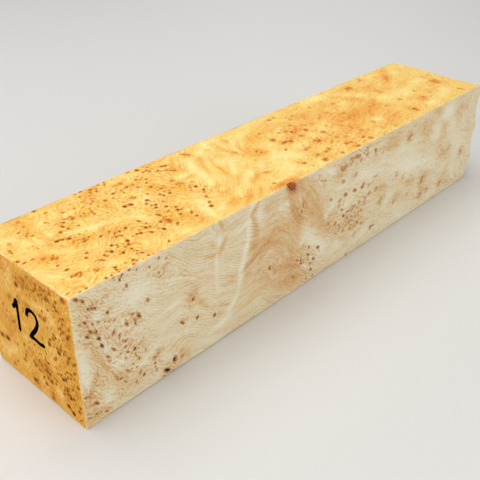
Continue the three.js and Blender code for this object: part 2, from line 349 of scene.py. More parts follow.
    (47.2, 25.8, 0.8, 0.95, 1.5, 45), (85.5, 31.6, 0.6, 0.65, 1.6, -35), (86.7, 19, 0.9, 0.9, 1.3, -70),
    (91.3, 20.6, 0.6, 0.45, 1.6, -40), (104.7, 36, 0.9, 0.8, 1.6, -55), (105.3, 38.5, 1.9, 0.55, 4.5, -75),
    (110.6, 17.3, 0.75, 0.85, 1.2, 80), (103.4, 14.6, 0.8, 0.75, 1.3, -40),
    (105.7, 13.4, 0.75, 0.9, 1.4, -50), (106.2, 11.7, 0.8, 0.95, 1.4, -30), (110.4, 14, 1.1, 0.95, 2, -35),
    (116.7, 14.5, 1.1, 0.95, 1.5, -30), (114.2, 10.2, 1.1, 0.9, 1.8, -30), (112, 8.9, 0.8, 0.8, 1.4, -30),
    (112.8, 5.6, 1, 0.85, 1.5, -25), (101.3, 7.6, 1, 0.7, 1.6, -35), (110.2, 2.4, 0.7, 0.6),
    (114.3, 2, 0.7, 0.75), (106.2, 15.3, 0.7, 0.5), (114.4, 47.3, 1.6, 0.5, 3.5, -80),
    (116, 44.9, 1.1, 0.5, 2.8, -35), (118.2, 44.1, 1.2, 0.6, 3.2, -10), (131, 39.1, 1.3, 0.6, 1.6, -20),
    (139.7, 39.1, 1.1, 0.6, 1.4, 60), (131.8, 45.4, 1.3, 0.6, 1.5, 30), (139.2, 47.3, 1.1, 0.75, 1.5, -50),
    (136.4, 45.9, 0.8, 0.5), (142.7, 44.8, 0.8, 0.6), (152.8, 45.6, 1.1, 0.8, 1.4, -40),
    (147.1, 45.6, 0.9, 0.5), (158.8, 42.6, 1, 0.45), (146.8, 48.4, 1, 0.5),
    (123.3, 33.9, 1, 0.65, 1.4, -30), (133.4, 32.2, 1.3, 0.85, 1.5, -35), (140, 31.7, 1.3, 0.85, 1.6, -20),
    (145.5, 31.7, 1.4, 0.8), (129.6, 30.9, 0.9, 0.55), (129.3, 28.4, 0.7, 0.6),
    (131.8, 25.7, 0.9, 0.8, 1.4, -20), (133.2, 22.4, 0.9, 0.9, 1.2, -40), (122.8, 23, 1.1, 0.6, 2.2, -50),
    (127.7, 21, 1, 0.7, 1.3, 10), (130.4, 19.1, 0.9, 0.7, 1.5, -30), (130.7, 16.9, 0.7, 0.6),
    (135.4, 16.9, 0.8, 0.55), (138.1, 17.5, 1, 0.6), (133.7, 15, 0.9, 0.65),
    (138.9, 13.7, 1.2, 0.6, 1.8, -50), (142.5, 13.7, 1, 0.5), (139.7, 22.7, 0.7, 0.6),
    (144.1, 24.6, 0.9, 0.55), (143.8, 22.1, 1.4, 0.5, 2.4, -5), (144.4, 19.7, 1.2, 0.5, 2.4, -5),
    (148.7, 24.6, 0.9, 0.5), (148.2, 22.4, 1, 0.5), (151.5, 26, 1.1, 0.65), (156.7, 26, 1.1, 0.6),
    (150.4, 30.1, 1, 0.45), (155.3, 32.8, 1.5, 0.5, 1.6, -20), (148.2, 12.8, 1.4, 0.5, 1.8, -10),
    (142.7, 8.7, 1.1, 0.4), (156.7, 7.1, 1.9, 0.75, 1.6, 0), (161.6, 18.3, 1.8, 0.75, 1.7, 60),
    (137.8, 24, 0.8, 0.45), (114.6, 2.5, 0.9, 0.7, 1.5, -20), (137.8, 0.9, 0.9, 0.8),
    (180, 42.6, 2.1, 0.75, 1.7, 50), (172.9, 26.8, 1.5, 0.55), (178.1, 24, 1.5, 0.5),
    (185.5, 12.6, 1.6, 0.4), (197.5, 15.3, 2.7, 0.65, 1.6, 30), (204, 7.7, 1.7, 0.4),
    (196.9, 7.1, 1.9, 0.45), (234.1, 18, 1.9, 0.5), (234, 44, 2.8, 0.35, 3, 88), (220.5, 25.1, 1.8, 0.35),
    (173.4, 13.1, 1.2, 0.4), (216, 7.1, 2, 0.4),
), Side.SAWN: (
    (22.5, 42.3, 1, 0.9), (24.7, 44.2, 0.5, 0.7), (27.3, 46.1, 0.88, 0.6), (26.9, 44.2, 0.75, 0.5),
    (32.6, 44.8, 0.62, 0.75), (33.9, 46.1, 0.62, 0.75), (35.2, 44.6, 0.62, 0.75), (38.8, 44.8, 0.75, 0.85),
    (38.1, 47.6, 0.62, 0.75), (41.6, 48.3, 0.75, 0.75), (43.1, 44.5, 0.69, 0.85), (44.1, 46.5, 0.62, 0.8),
    (48, 49.2, 1.12, 0.75), (44.4, 43.4, 0.5, 0.75), (39.1, 41.1, 0.56, 0.7), (45.3, 41.1, 0.5, 0.7),
    (45.9, 39.5, 0.75, 0.8, 2, 62), (44.7, 37.3, 0.75, 0.8, 2, 62), (45.9, 36.7, 0.75, 0.85, 2, 62),
    (47.8, 35.4, 1.12, 0.95, 2, 65), (49, 36.7, 0.75, 0.85, 2, 62), (49, 38.9, 0.62, 0.75),
    (45, 35.7, 0.5, 0.7), (21.9, 37.3, 0.75, 0.5), (21.9, 35.4, 0.75, 0.5), (26.9, 36.5, 1.4, 0.45),
    (24, 33.9, 0.75, 0.45), (33.7, 36.1, 0.75, 0.65), (36, 35.9, 0.88, 0.7), (37.2, 33.3, 0.5, 0.6),
    (40, 32.3, 0.69, 0.75), (39.4, 30.4, 0.69, 0.75), (36.6, 27, 1.06, 0.85, 1.4, 80),
    (41.6, 26.1, 0.94, 0.95), (43.1, 28.3, 0.56, 0.75), (45, 28.6, 0.56, 0.75), (46.7, 27.1, 0.75, 0.85),
    (45.9, 25.1, 0.69, 0.85), (48.4, 25.4, 0.62, 0.8), (49.7, 26.4, 0.62, 0.9),
    (48.7, 22.3, 1, 0.85, 2, 45), (38.4, 21.7, 0.75, 0.6), (45.3, 23.9, 0.5, 0.7), (46.6, 20.5, 0.56, 0.75),
    (44.7, 18.2, 0.56, 0.75), (46.2, 18.6, 0.56, 0.75), (48.1, 19.5, 0.56, 0.75), (49.4, 17, 0.75, 0.85),
    (40.6, 16.7, 0.69, 0.85), (43.1, 16.4, 1, 0.9, 1.9, 45), (41.6, 15.4, 0.75, 0.95),
    (38.7, 16, 0.56, 0.75), (43.1, 11.7, 0.62, 0.9), (43.1, 10.1, 0.75, 0.85), (44.4, 9.2, 0.81, 1),
    (41.2, 10.7, 0.5, 0.75), (46.2, 10.1, 0.62, 0.85), (45.9, 13.9, 0.5, 0.7), (49, 8.2, 0.62, 0.9),
    (48.1, 6, 0.75, 0.85), (28.4, 15.1, 0.62, 0.75), (29.7, 14.2, 0.62, 0.75), (32.2, 13.2, 1, 0.8),
    (33.7, 12.9, 0.75, 0.85), (34, 9.8, 1, 0.85), (36.6, 10.4, 0.75, 0.85, 2, 75), (24.7, 12.6, 0.62, 0.75),
    (26.2, 12.3, 0.62, 0.75), (25.3, 11.4, 0.62, 0.75), (28.1, 10.7, 0.56, 0.7), (18.7, 9.8, 1.06, 0.6),
    (30.6, 6.7, 0.88, 0.8), (23.4, 3.9, 1.3, 0.85, 1.6, 30), (13.4, 6, 0.62, 0.6), (10.9, 3.5, 1, 0.5),
    (33.7, 4.5, 0.62, 0.7), (33.4, 2.3, 0.88, 0.75), (42.2, 4.5, 1, 0.95, 1.3, 20), (44.6, 3, 1, 1),
    (9.4, 13.9, 1.3, 1, 1.4, 10), (5.7, 13.4, 1.12, 0.85), (20.3, 17.3, 1.12, 0.6, 2.4, 45),
    (23.1, 17.3, 0.62, 0.5), (15.6, 24.2, 1, 0.6, 2, 10), (12.8, 27.3, 0.75, 0.5), (11.2, 29.2, 0.62, 0.5),
    (16.5, 34.9, 1, 0.45), (30, 48.6, 0.62, 0.6), (24, 20.4, 0.62, 0.5), (30.2, 19, 0.5, 0.5),
)}

# Drifts of eyes for the rest, as u, v, reach along and up, count, half-length, darkness, length
# over width and lean
DRIFTS: dict[Side, Rows] = {Side.TOP: (
    (38, 25, 42, 26, 130, 0.34, 0.5, 1.3, 40), (142, 26, 22, 22, 50, 0.9, 0.42, 2, 28),
    (165, 8, 14, 9, 18, 1, 0.4, 2, 28), (170, 34, 14, 12, 16, 1, 0.35, 2.4, 28),
    (215, 25, 24, 22, 12, 1.4, 0.3, 2, 30),
), Side.NEAR: (
    (12, 26, 10, 22, 64, 0.4, 0.55, 1.8, -50), (140, 20, 9, 7, 40, 0.85, 0.62, 1.8, -40),
    (141, 46, 10, 3, 20, 0.85, 0.6, 1.8, -45), (108, 12, 6, 7, 9, 0.6, 0.5, 1.5, -40),
    (205, 22, 24, 18, 12, 1.7, 0.28, 2, -35),
), Side.SAWN: (
    (44, 27, 7, 22, 50, 0.58, 0.9, 1.6, 68), (30, 12, 10, 9, 24, 0.6, 0.85, 1.5, 68),
    (36, 45, 11, 5, 28, 0.55, 0.8, 1.6, 68), (22, 26, 24, 22, 40, 0.5, 0.6, 1.6, 68),
), Side.FAR: (
    (40, 30, 14, 12, 50, 0.75, 0.75, 1.5, 30), (62, 14, 9, 7, 34, 0.7, 0.8, 1.4, 50),
    (98, 38, 13, 7, 48, 0.7, 0.8, 1.5, -30), (120, 12, 8, 5, 24, 0.65, 0.85, 1.4, 20),
    (176, 26, 14, 12, 76, 0.65, 0.85, 1.5, 40), (214, 40, 9, 6, 36, 0.65, 0.9, 1.4, 10),
    (226, 15, 12, 8, 56, 0.65, 0.9, 1.4, 60), (145, 30, 90, 18, 60, 0.5, 0.6, 1.4, 20),
), Side.BASE: (
    (20, 24, 12, 16, 64, 0.65, 0.85, 1.5, -30), (52, 38, 9, 6, 34, 0.65, 0.85, 1.5, -30),
    (84, 12, 9, 6, 28, 0.7, 0.8, 1.5, 20), (138, 30, 14, 8, 60, 0.7, 0.8, 1.6, -20),
    (190, 14, 12, 8, 44, 0.7, 0.8, 1.5, 40), (222, 36, 10, 7, 34, 0.7, 0.75, 1.5, 40),
    (123, 25, 90, 20, 60, 0.5, 0.6, 1.4, 0),
), Side.ROUGH: (
    (14, 34, 7, 6, 24, 0.65, 0.8, 1.6, 60), (34, 18, 9, 7, 34, 0.65, 0.8, 1.6, 60),
    (25, 25, 24, 22, 50, 0.5, 0.6, 1.5, 60),
)}

# Places where the wood has fallen out beside an eye, as u, v, half-length, darkness (above 1,
# which paints the shade in the hole near-black), length over width, lean and depth
VOIDS: dict[Side, Rows] = {Side.NEAR: (
    (37.7, 5.3, 1.35, 1.5, 1.4, 85, 0.8), (34, 2.7, 1.6, 1.5, 1.8, -40, 0.8),
), Side.TOP: (
    (65.5, 9.1, 0.85, 1, 1.2, 10, 0.35),
)}

# Patches of deeper (or, below 0, paler) wood, as u, v, reach along the lean and across it, lean
# and depth
STAINS: dict[Side, Rows] = {Side.TOP: (
    (21.5, 22.9, 3.8, 3, 0, 0.6), (7.7, 22.5, 2.8, 2.4, 30, 0.64), (15, 30, 2, 5, -20, 0.32),
    (28, 36.5, 3.4, 2.4, 0, 0.36), (48.8, 12, 2.6, 2.2, 50, 1), (60.3, 34.6, 2.8, 2, 20, 0.85),
    (44, 47.5, 3, 2.4, 0, 0.8), (40.8, 34, 2.8, 1.4, 80, 0.75), (63, 24, 4, 3, 0, 0.45),
    (55, 8, 2.5, 4, 0, 0.5), (77.5, 18, 2.8, 1.4, 50, 1), (76, 12.5, 4, 2, 30, 0.6),
    (74, 5.5, 5, 2.6, 20, 0.6), (78, 37.5, 3, 1.5, 80, 0.6), (76, 30.5, 3.2, 1.3, 15, 0.6),
    (78, 43, 3, 1.6, 45, 0.45), (73, 48.5, 4.5, 1.8, 0, 0.55), (87.5, 44.6, 2.4, 1.8, -50, 0.5),
    (5, 4, 4, 1.2, -70, 0.48), (33, 2, 3, 2, 0, 0.4), (52, 5, 2, 1.5, 0, 0.6), (58, 4, 2.4, 2.4, 0, 0.4),
    (32, 45.5, 3.4, 5, 0, 0.28), (15, 46, 8, 4.4, 0, 0.44), (30, 20, 4, 2.4, 0, 0.28),
    (66, 39.5, 4, 2, 0, 0.45), (50, 33.5, 2, 1.4, 0, 0.5), (31.5, 24.3, 3.4, 0.8, 25, 0.4),
    (54.5, 40.5, 4, 1.3, 5, 0.5), (28, 29, 3, 0.6, -12, 0.4), (34, 28.6, 2.4, 0.6, -35, 0.4),
    (9, 7.8, 2.6, 2, 0, 0.44), (14.8, 6, 1.6, 1.4, 0, 0.4), (69, 29, 3, 4.4, 0, 0.4),
    (9.5, 20.3, 2, 1.6, 0, 0.4), (27, 9, 7, 5, 0, 0.16), (50, 22, 5, 6, 0, 0.2), (57, 15, 4, 4, 0, 0.3),
    (40, 9, 6, 3, 0, 0.25), (41, 41, 4, 7, 0, 0.25), (52.3, 44.8, 2.6, 1.4, 0, 0.6),
    (34, 35.4, 3, 2, 0, 0.24), (64, 32, 1, 2, 0, 0.5), (14, 37, 4, 4, 0, 0.16),
    (29, 27.3, 7, 1.7, -10, -0.8), (62.5, 7, 5.5, 1.1, 80, -1), (47, 10.2, 2, 1.1, 0, -0.8),
    (36, 47, 1.2, 2.4, 0, -0.48), (18.5, 41.5, 3, 1.3, 60, -0.64), (12, 33.5, 2.6, 0.8, 75, -0.64),
    (9, 33, 2.6, 0.6, 80, -0.64), (6.5, 39, 2.2, 1.5, 0, -0.72), (75, 32.4, 3, 0.9, 0, -1),
    (73, 28.4, 1.6, 1.2, 0, -0.9), (77, 21.5, 1.1, 1.4, 0, -1), (77, 15.4, 1.4, 0.8, 50, -1),
    (65.5, 12.5, 1.2, 2.6, 0, -0.8), (68, 6.4, 2.6, 1.2, 30, -0.9), (49, 3.4, 3, 1.5, 0, -0.6),
    (22, 47.6, 1.6, 1.2, 0, -0.56), (17, 33.4, 3, 0.7, 60, -0.56), (24.5, 41.5, 4.5, 0.8, 60, -0.48),
    (29, 40.3, 2.4, 0.8, 0, -0.48), (62, 47.6, 2, 0.9, 0, -0.5), (54, 36, 4, 1.2, 0, -0.4),
    (12, 23, 2.4, 1.4, -50, -0.48), (3.5, 14, 1.2, 5, 20, -0.32), (1.5, 41, 2, 2, 0, -0.64),
    (20, 5.5, 2.6, 1.2, 0, -0.4), (33, 16.5, 1.6, 1, 0, -0.48), (53, 26, 0.9, 1.4, 0, -0.6),
    (58, 12.8, 1.6, 0.8, 0, -0.7), (44, 20, 1.4, 4, 0, -0.4), (54, 30, 3, 2, 0, -0.4),
    (80.5, 30, 12, 1.8, 75, -0.7), (83, 38, 4, 0.8, 55, -0.8), (92, 42.5, 3.6, 1.6, 30, -0.8),
    (92, 24, 5, 0.8, 55, -0.9), (93.5, 17, 3, 0.8, 65, -1), (88, 13.5, 4.5, 0.9, 45, -0.8),
    (79, 8.5, 3.5, 0.7, 50, -0.8), (84, 7, 3.6, 0.6, 45, -0.7), (98, 4.6, 4, 0.8, 0, -0.7),
    (99, 45.5, 4, 1.2, 70, -0.8), (104.5, 33, 3, 0.8, 80, -0.9), (103, 47.5, 3, 1.5, 0, -0.7),
    (112, 18, 4.4, 3, 0, -0.7), (107, 9, 5, 4, 0, -0.6), (114, 25, 1.6, 3, 0, -0.7),
    (100, 17, 3, 1, 45, -0.7), (94, 30, 3, 5, 60, -0.4), (108, 39.5, 3.4, 1, 60, -0.7),
    (117, 14, 3, 3, 0, -0.4), (88, 25.5, 4.5, 0.9, 68, 0.9), (90, 33, 3.6, 0.7, 60, 0.7),
    (82, 5.5, 5, 0.8, 42, 0.9), (77.5, 3, 4, 0.8, 40, 0.9), (85, 4, 4, 0.7, 38, 0.9),
    (92.5, 12.5, 4, 1.2, 35, 0.9), (87, 17, 4, 0.7, 45, 0.6), (95, 20, 3, 0.8, 45, 0.6),
    (88, 37.5, 5, 0.8, 55, 0.7), (84, 30, 4, 0.7, 62, 0.5), (96, 34, 3, 1.2, 40, 0.35),
    (98, 12.3, 2.2, 1, -30, 0.8), (93, 2, 4, 1.2, 0, 0.8), (97, 1, 6, 2.2, 0, 1.3),
    (101.5, 39, 4, 0.8, 80, 0.6), (107.5, 43, 2.6, 1, 80, 0.6), (102.5, 32.5, 2.4, 1, 90, 0.7),
    (107, 35, 6, 1.2, 60, 0.5), (110, 25.5, 5, 3.4, 0, 0.85), (109, 32, 5, 1.6, 35, 0.6),
    (117, 36, 5, 6, 0, 0.5), (109, 16.6, 2.4, 0.6, -35, 0.5), (113, 9.5, 2, 2.8, 0, 0.6),
    (125, 26, 5, 3, 0, 0.45), (134, 30, 4, 3, 40, 0.5), (134, 16.5, 5, 1.8, -8, 0.7),
    (124, 7, 3, 5, 0, 0.4), (128, 40, 9, 4, 20, 0.4), (142, 3.4, 5, 3, 30, 0.5), (150, 40, 8, 3, 20, 0.35),
    (142, 30, 9, 4, 25, 0.35), (155, 33, 8, 5, 20, 0.35), (150, 12, 8, 5, 25, 0.35),
    (154, 7, 4, 2, 20, 0.5), (160, 22, 7, 7, 20, 0.55), (171, 21, 9, 5, 5, 0.9), (181, 21, 5, 5, 0, 0.6),
    (176, 8, 8, 3, 30, 0.6), (183, 34, 9, 2.4, -65, 0.5), (168, 42, 5, 3, 20, 0.4),
    (193.7, 43, 3.4, 3, 0, 0.7), (192.5, 8, 2, 3.4, 0, 0.7), (202, 33.5, 6, 5, 0, 0.45),
    (208, 11, 3.4, 3, 0, 0.4), (221, 40.5, 8, 2.2, 33, 0.7), (233, 18, 4, 3.6, 30, 0.6),
    (226, 47, 5, 2, 20, 0.45), (219, 30, 4, 3, 0, 0.3), (172, 46, 6, 3, -10, -0.8),
    (196, 26, 3, 5, -30, -0.7), (209, 22.5, 8, 3.6, 15, -0.6), (190, 34, 3, 2.4, 0, -0.5),
    (226, 26, 5, 3, 0, -0.5), (206, 5, 5, 2.4, 20, -0.7), (222, 8, 8, 2, 20, -0.6),
    (118, 28.5, 2, 4, 0, -0.5), (113, 42, 7, 3, 20, -0.5), (128, 19, 5, 2.4, 0, -0.6),
    (138, 22, 3, 1.6, 25, -0.5), (119, 2.4, 3, 2, 0, -0.4), (150, 25.5, 7, 1.4, 25, -0.4),
    (195, 25, 48, 26, 0, 0.28), (171, 12, 2.6, 2, 0, -0.8), (176, 34, 5, 1, 30, -0.5),
    (230, 41, 3, 2, 0, -0.5),
), Side.NEAR: (
    (4, 42, 8, 2, -75, 0.31), (8, 44.5, 1.6, 2, 0, 0.41), (7, 25, 8, 1.6, -60, 0.41),
    (5.5, 17, 5, 1.5, 70, 0.41), (11, 17, 5, 1.4, -50, 0.34), (2, 10.5, 3.4, 3.6, 0, 0.48),
    (4, 3, 5.4, 2.6, 0, 0.58), (16, 5.6, 7, 2, -30, 0.27), (14, 12.5, 2.8, 1.6, -45, 0.41),
    (17.7, 13.2, 2.2, 0.9, -45, 0.34), (30.2, 12.2, 2.4, 1.9, 0, 0.54), (34.4, 3, 3, 2.4, 0, 0.51),
    (38, 8.6, 3.4, 1.2, -75, 0.34), (41, 5, 1.6, 2, 0, 0.6), (44, 4, 1, 2.6, 0, 0.5),
    (25.5, 17.4, 1.6, 2, 0, 0.31), (23, 8.4, 2.8, 2, 0, 0.31), (33.3, 42.8, 2.6, 2, 0, 0.34),
    (33, 34, 1.6, 2.8, 0, 0.24), (28.2, 35.8, 1.7, 1.1, 0, 0.41), (22.5, 31.2, 3.6, 2.2, -30, 0.27),
    (20.4, 44.6, 0.9, 1.5, 0, 0.27), (12.5, 39.5, 1.3, 1.5, 0, 0.41), (38, 46.4, 2.2, 2, 0, 0.41),
    (42.5, 37.5, 2.2, 0.5, -60, 0.7), (44.6, 34.5, 1.7, 0.5, -30, 0.6), (5, 36, 4, 1.6, -60, 0.27),
    (29, 47, 2, 1.4, 0, 0.2), (15.5, 30, 2, 5, 20, 0.14), (20, 22, 1.5, 6, 15, 0.17),
    (2.2, 25.5, 6, 1.5, 90, -0.68), (2.6, 18.5, 1.5, 2.5, 0, -0.54), (14.5, 18.6, 3.6, 2, -30, -0.68),
    (10.5, 27.4, 2.2, 1, -50, -0.54), (18.5, 33.6, 1.4, 0.9, 0, -0.61), (22, 41.5, 4, 3.4, 0, -0.48),
    (27.5, 40, 4.4, 3, 0, -0.41), (19.5, 46.4, 1.2, 0.9, 0, -0.54), (22.4, 12.2, 2, 1.1, 0, -0.61),
    (9.5, 7.4, 2, 2.6, 0, -0.54), (5.4, 12.4, 1.3, 1.3, 0, -0.54), (30.2, 4, 1, 2.2, 0, -0.68),
    (35.5, 46.6, 0.9, 1.6, 0, -0.54), (28.6, 15.4, 3, 0.7, 30, -0.48), (38.5, 28.2, 4.4, 0.9, 8, -0.54),
    (29.5, 31.5, 4, 1.4, -15, -0.27), (34.5, 17.5, 4, 3, 0, -0.2), (9, 40.5, 1.4, 1, -40, -0.54),
    (12.7, 42.6, 1.4, 0.7, 0, -0.41), (17.5, 39, 2, 1, -30, -0.27), (46.8, 27.2, 2.8, 2.8, 0, 0.6),
    (51, 22, 3.2, 0.9, -55, 0.55), (45.4, 23.4, 2.6, 0.6, -75, 0.45), (57.4, 38.3, 1.4, 0.45, 0, 0.9),
    (61.8, 40.3, 3, 0.75, 60, 1), (60, 43, 2, 1, 60, -0.7), (58.7, 34.5, 2.6, 0.6, 95, -1),
    (58.6, 27, 4, 0.8, 95, -0.4), (74.6, 41.5, 4.6, 0.8, 85, -1), (73.4, 33.5, 4, 0.9, 70, -1),
    (71.3, 27.3, 2.6, 0.9, 60, -1), (70.3, 21.5, 3.2, 0.8, 75, -0.9), (66.5, 13.5, 3.8, 1, 40, -0.9),
    (61.5, 8.5, 5, 1.2, 15, -0.8), (77, 49.5, 2.2, 0.8, 45, -0.9), (72, 43.2, 3, 0.7, 25, -0.8),
    (77.8, 48.2, 3.6, 0.9, 48, 1), (78.2, 40, 3.6, 1.1, -80, 0.9), (77, 44, 2.4, 0.8, -60, 0.5),
    (76.5, 27.3, 3.6, 1, 30, 0.9), (73.5, 25.8, 1.6, 0.6, 30, 0.6), (74, 22.6, 1.6, 1, 0, 0.6),
    (78, 33, 2.6, 3.4, 0, 0.55), (82, 31.4, 6, 3.4, 15, 0.4), (79, 14, 8, 7, 0, 0.4),
    (82.5, 26.3, 4, 0.9, 30, 0.5), (67, 25.5, 3, 0.8, -15, 0.55), (64.5, 23.5, 3, 0.8, -10, 0.5),
    (63, 15, 3.4, 1, -30, 0.55), (60, 12.4, 3, 1, -15, 0.5), (63.5, 9.9, 4, 0.6, 8, 0.5),
    (66, 46.6, 3, 0.6, 10, 0.45), (61, 48.4, 2.6, 0.7, -70, 0.6), (57, 42, 2.2, 0.7, -45, 0.5),
    (54.5, 39.5, 2.2, 0.6, -30, 0.6), (70, 45.6, 2.6, 0.6, 0, 0.4), (52, 44, 8, 4, 0, 0.1),
    (84.6, 45.6, 2.4, 1.2, 0, 0.5), (80.4, 45, 1.6, 3, 0, -0.5), (92, 42.4, 1.8, 1.2, 0, -0.6),
    (95.7, 43, 1.6, 0.8, -60, -0.6), (90, 30, 10, 7, 0, 0.45), (94, 18, 9, 9, 0, 0.4),
    (102, 29, 5, 9, 0, 0.45), (100, 16, 3, 4, 0, 0.3), (101, 8, 3, 2, -35, 0.3), (94, 9, 11, 7, 0, 0.3),
    (104, 7, 8, 5, 0, 0.4), (89, 43, 8, 6, 0, 0.35), (88, 15, 3.6, 0.8, -55, -0.5), (80, 7, 5, 3, 0, -0.4),
    (92.3, 19.2, 1.1, 0.8, 0, -0.7), (106, 22, 2.2, 1.1, 35, -0.6), (106.8, 19.4, 2, 1.5, 0, 0.6),
    (108.5, 25.4, 4, 1.3, -35, -0.5), (113.5, 19, 5, 2, -30, -0.7), (108, 10, 3.6, 0.7, -45, -0.7),
    (112.4, 12, 2.4, 0.5, -40, -0.7), (120.6, 27.2, 1, 1.6, 0, -0.9), (109, 40, 9, 5, -50, 0.55),
    (114, 32, 10, 4, -46, 0.6), (123, 21.5, 11, 2.6, -47, 0.55), (103, 48.6, 3.4, 2.4, 0, 0.75),
    (96.8, 46.6, 2.6, 1, -50, 0.9), (116.4, 47.4, 1.6, 1.6, 0, -0.5), (122, 46.5, 2.6, 1.3, -35, -0.9),
    (110.3, 44.2, 3.4, 0.4, -50, 0.6), (99, 41, 5.5, 1.5, -70, 0.6), (102, 36, 6, 2, -66, 0.5),
    (103.5, 41.4, 3, 0.5, -78, -0.7), (99.5, 34, 4, 1.2, -55, 0.6), (92, 34, 4, 0.8, -40, 0.35),
    (86, 43, 6, 4, 0, 0.1), (118, 13.6, 3.6, 3.6, 0, -0.5), (116.5, 22, 2, 4, -60, 0.25),
    (131, 45.6, 3, 2, 0, 0.6), (128, 43, 3, 2, 0, 0.45), (139, 47, 4, 2, -40, 0.35),
    (131, 37, 9, 1.2, -12, -0.5), (138, 38.6, 2, 2.4, 0, 0.4), (130, 30, 2.4, 2.4, 0, 0.5),
    (136.5, 27.5, 3, 2, 0, -0.4), (126, 26, 3, 1.4, -50, 0.5), (125, 30.5, 2.4, 1.1, 30, -0.8),
    (131, 12, 5, 3, 0, -0.5), (134, 11.5, 2.6, 1.5, -20, 0.7), (142, 18, 9, 7, 0, 0.25),
    (157, 27, 4, 4, 0, 0.35), (162, 25.6, 3, 1.6, 20, 0.5), (148, 36.5, 9, 2.4, -12, -0.4),
    (160, 40, 4, 3, 0, -0.3), (150, 8, 9, 3, 0, -0.3), (166, 45.5, 6, 5, 20, 0.65),
    (162, 18, 3.4, 3, 0, 0.5), (162, 10.5, 3, 1.6, 0, 0.3), (167, 17, 2.4, 4, -30, -0.5),
    (176, 34, 12, 5, -8, -0.55), (184, 27.6, 9, 3, -15, -0.55), (199, 25, 9, 3, -25, -0.5),
    (180, 6, 7, 3.4, 0, -0.4), (180, 42.6, 3, 2.4, 50, 0.6), (196, 41, 7, 6, -10, 0.45),
    (205, 48.5, 4, 2.4, 0, 0.5), (214, 45, 4, 3.4, 0, -0.8), (204.5, 37, 4, 4, 0, -0.5),
    (212, 39, 2.6, 3, 40, 0.5), (210.5, 30.5, 4, 4, -60, 0.4), (221, 36, 2.6, 6, 20, -0.5),
    (226, 43, 5, 7, 0, 0.4), (215, 23, 5, 2.6, 0, 0.4), (186, 19, 4, 2, 0, 0.4),
    (199, 16.5, 4.4, 3.4, 0, 0.6), (198, 10, 4, 2.4, -50, 0.5), (174.5, 15.4, 2.4, 2, 0, 0.5),
    (216, 6, 4, 3, -40, 0.35), (221, 13, 2, 4.4, -20, 0.25), (229, 25, 5, 9, 0, -0.3),
    (210, 5, 6, 2.4, 0, -0.35), (190, 3, 6, 2, 0, -0.4), (234, 18, 3, 3.4, 0, 0.35),
), Side.SAWN: (
    (27, 36.8, 3, 1.8, 10, 0.6), (16, 34.5, 2, 1.6, 0, 0.5), (31, 13.5, 4.4, 3, 20, 0.55),
    (28, 45.4, 4, 2, 0, 0.5), (15, 24.4, 2.4, 1.4, 0, 0.5), (33.5, 47.6, 4, 1.8, 0, 0.4),
    (47.5, 35.4, 1.6, 4.4, 0, 0.4), (30, 24.5, 3.4, 3, 0, 0.25), (13, 20, 4, 2, 60, 0.3),
    (45, 9.5, 3.4, 3, 0, 0.4), (9.5, 13.8, 2.4, 1.8, 0, 0.4), (23.5, 4, 2, 1.4, 0, 0.4),
    (43.5, 3.6, 3, 1.6, -30, 0.4), (18, 42, 5, 2, 60, -0.4), (35, 39.5, 6, 1.4, 10, -0.8),
    (40, 36.5, 3, 1.6, 60, -0.5), (12, 10, 6, 2, 35, -0.6), (29, 6.8, 2.4, 5, 0, -0.4),
    (38.5, 8, 2, 3, 0, -0.5), (23, 20, 3, 2, 0, -0.5), (34, 20, 4, 4, 60, -0.4), (39, 25, 2.4, 3, 60, -0.4),
    (7, 8, 3, 2.6, 40, -0.5), (30.5, 31, 3, 2, 60, -0.3), (43, 33, 2, 2, 60, -0.4), (20, 9, 3, 2, 0, -0.3),
), Side.FAR: (
    (60, 26, 22, 10, 12, 0.6), (108, 24, 14, 9, -20, -0.6), (150, 30, 16, 9, 10, 0.5),
    (205, 20, 18, 10, 0, -0.5), (228, 38, 10, 7, 0, 0.6), (176, 26, 9, 7, 30, 0.3),
    (30, 40, 12, 3, 15, -0.7), (84, 8, 14, 3, 10, -0.6), (130, 44, 12, 2.4, -10, 0.7),
    (190, 40, 10, 2.4, 20, 0.5),
), Side.BASE: (
    (30, 22, 18, 10, 10, 0.5), (108, 26, 16, 10, -15, 0.6), (66, 18, 12, 8, 0, -0.6),
    (170, 28, 18, 9, 10, -0.5), (212, 20, 14, 9, 0, 0.5), (140, 12, 12, 2.4, 10, 0.5),
    (90, 40, 14, 2.4, -15, 0.5),
), Side.ROUGH: (
    (14, 34, 7, 5, 60, 0.5), (34, 18, 9, 5, 60, 0.5), (25, 44, 12, 3, 0, -0.4), (40, 38, 6, 4, 0, -0.4),
)}

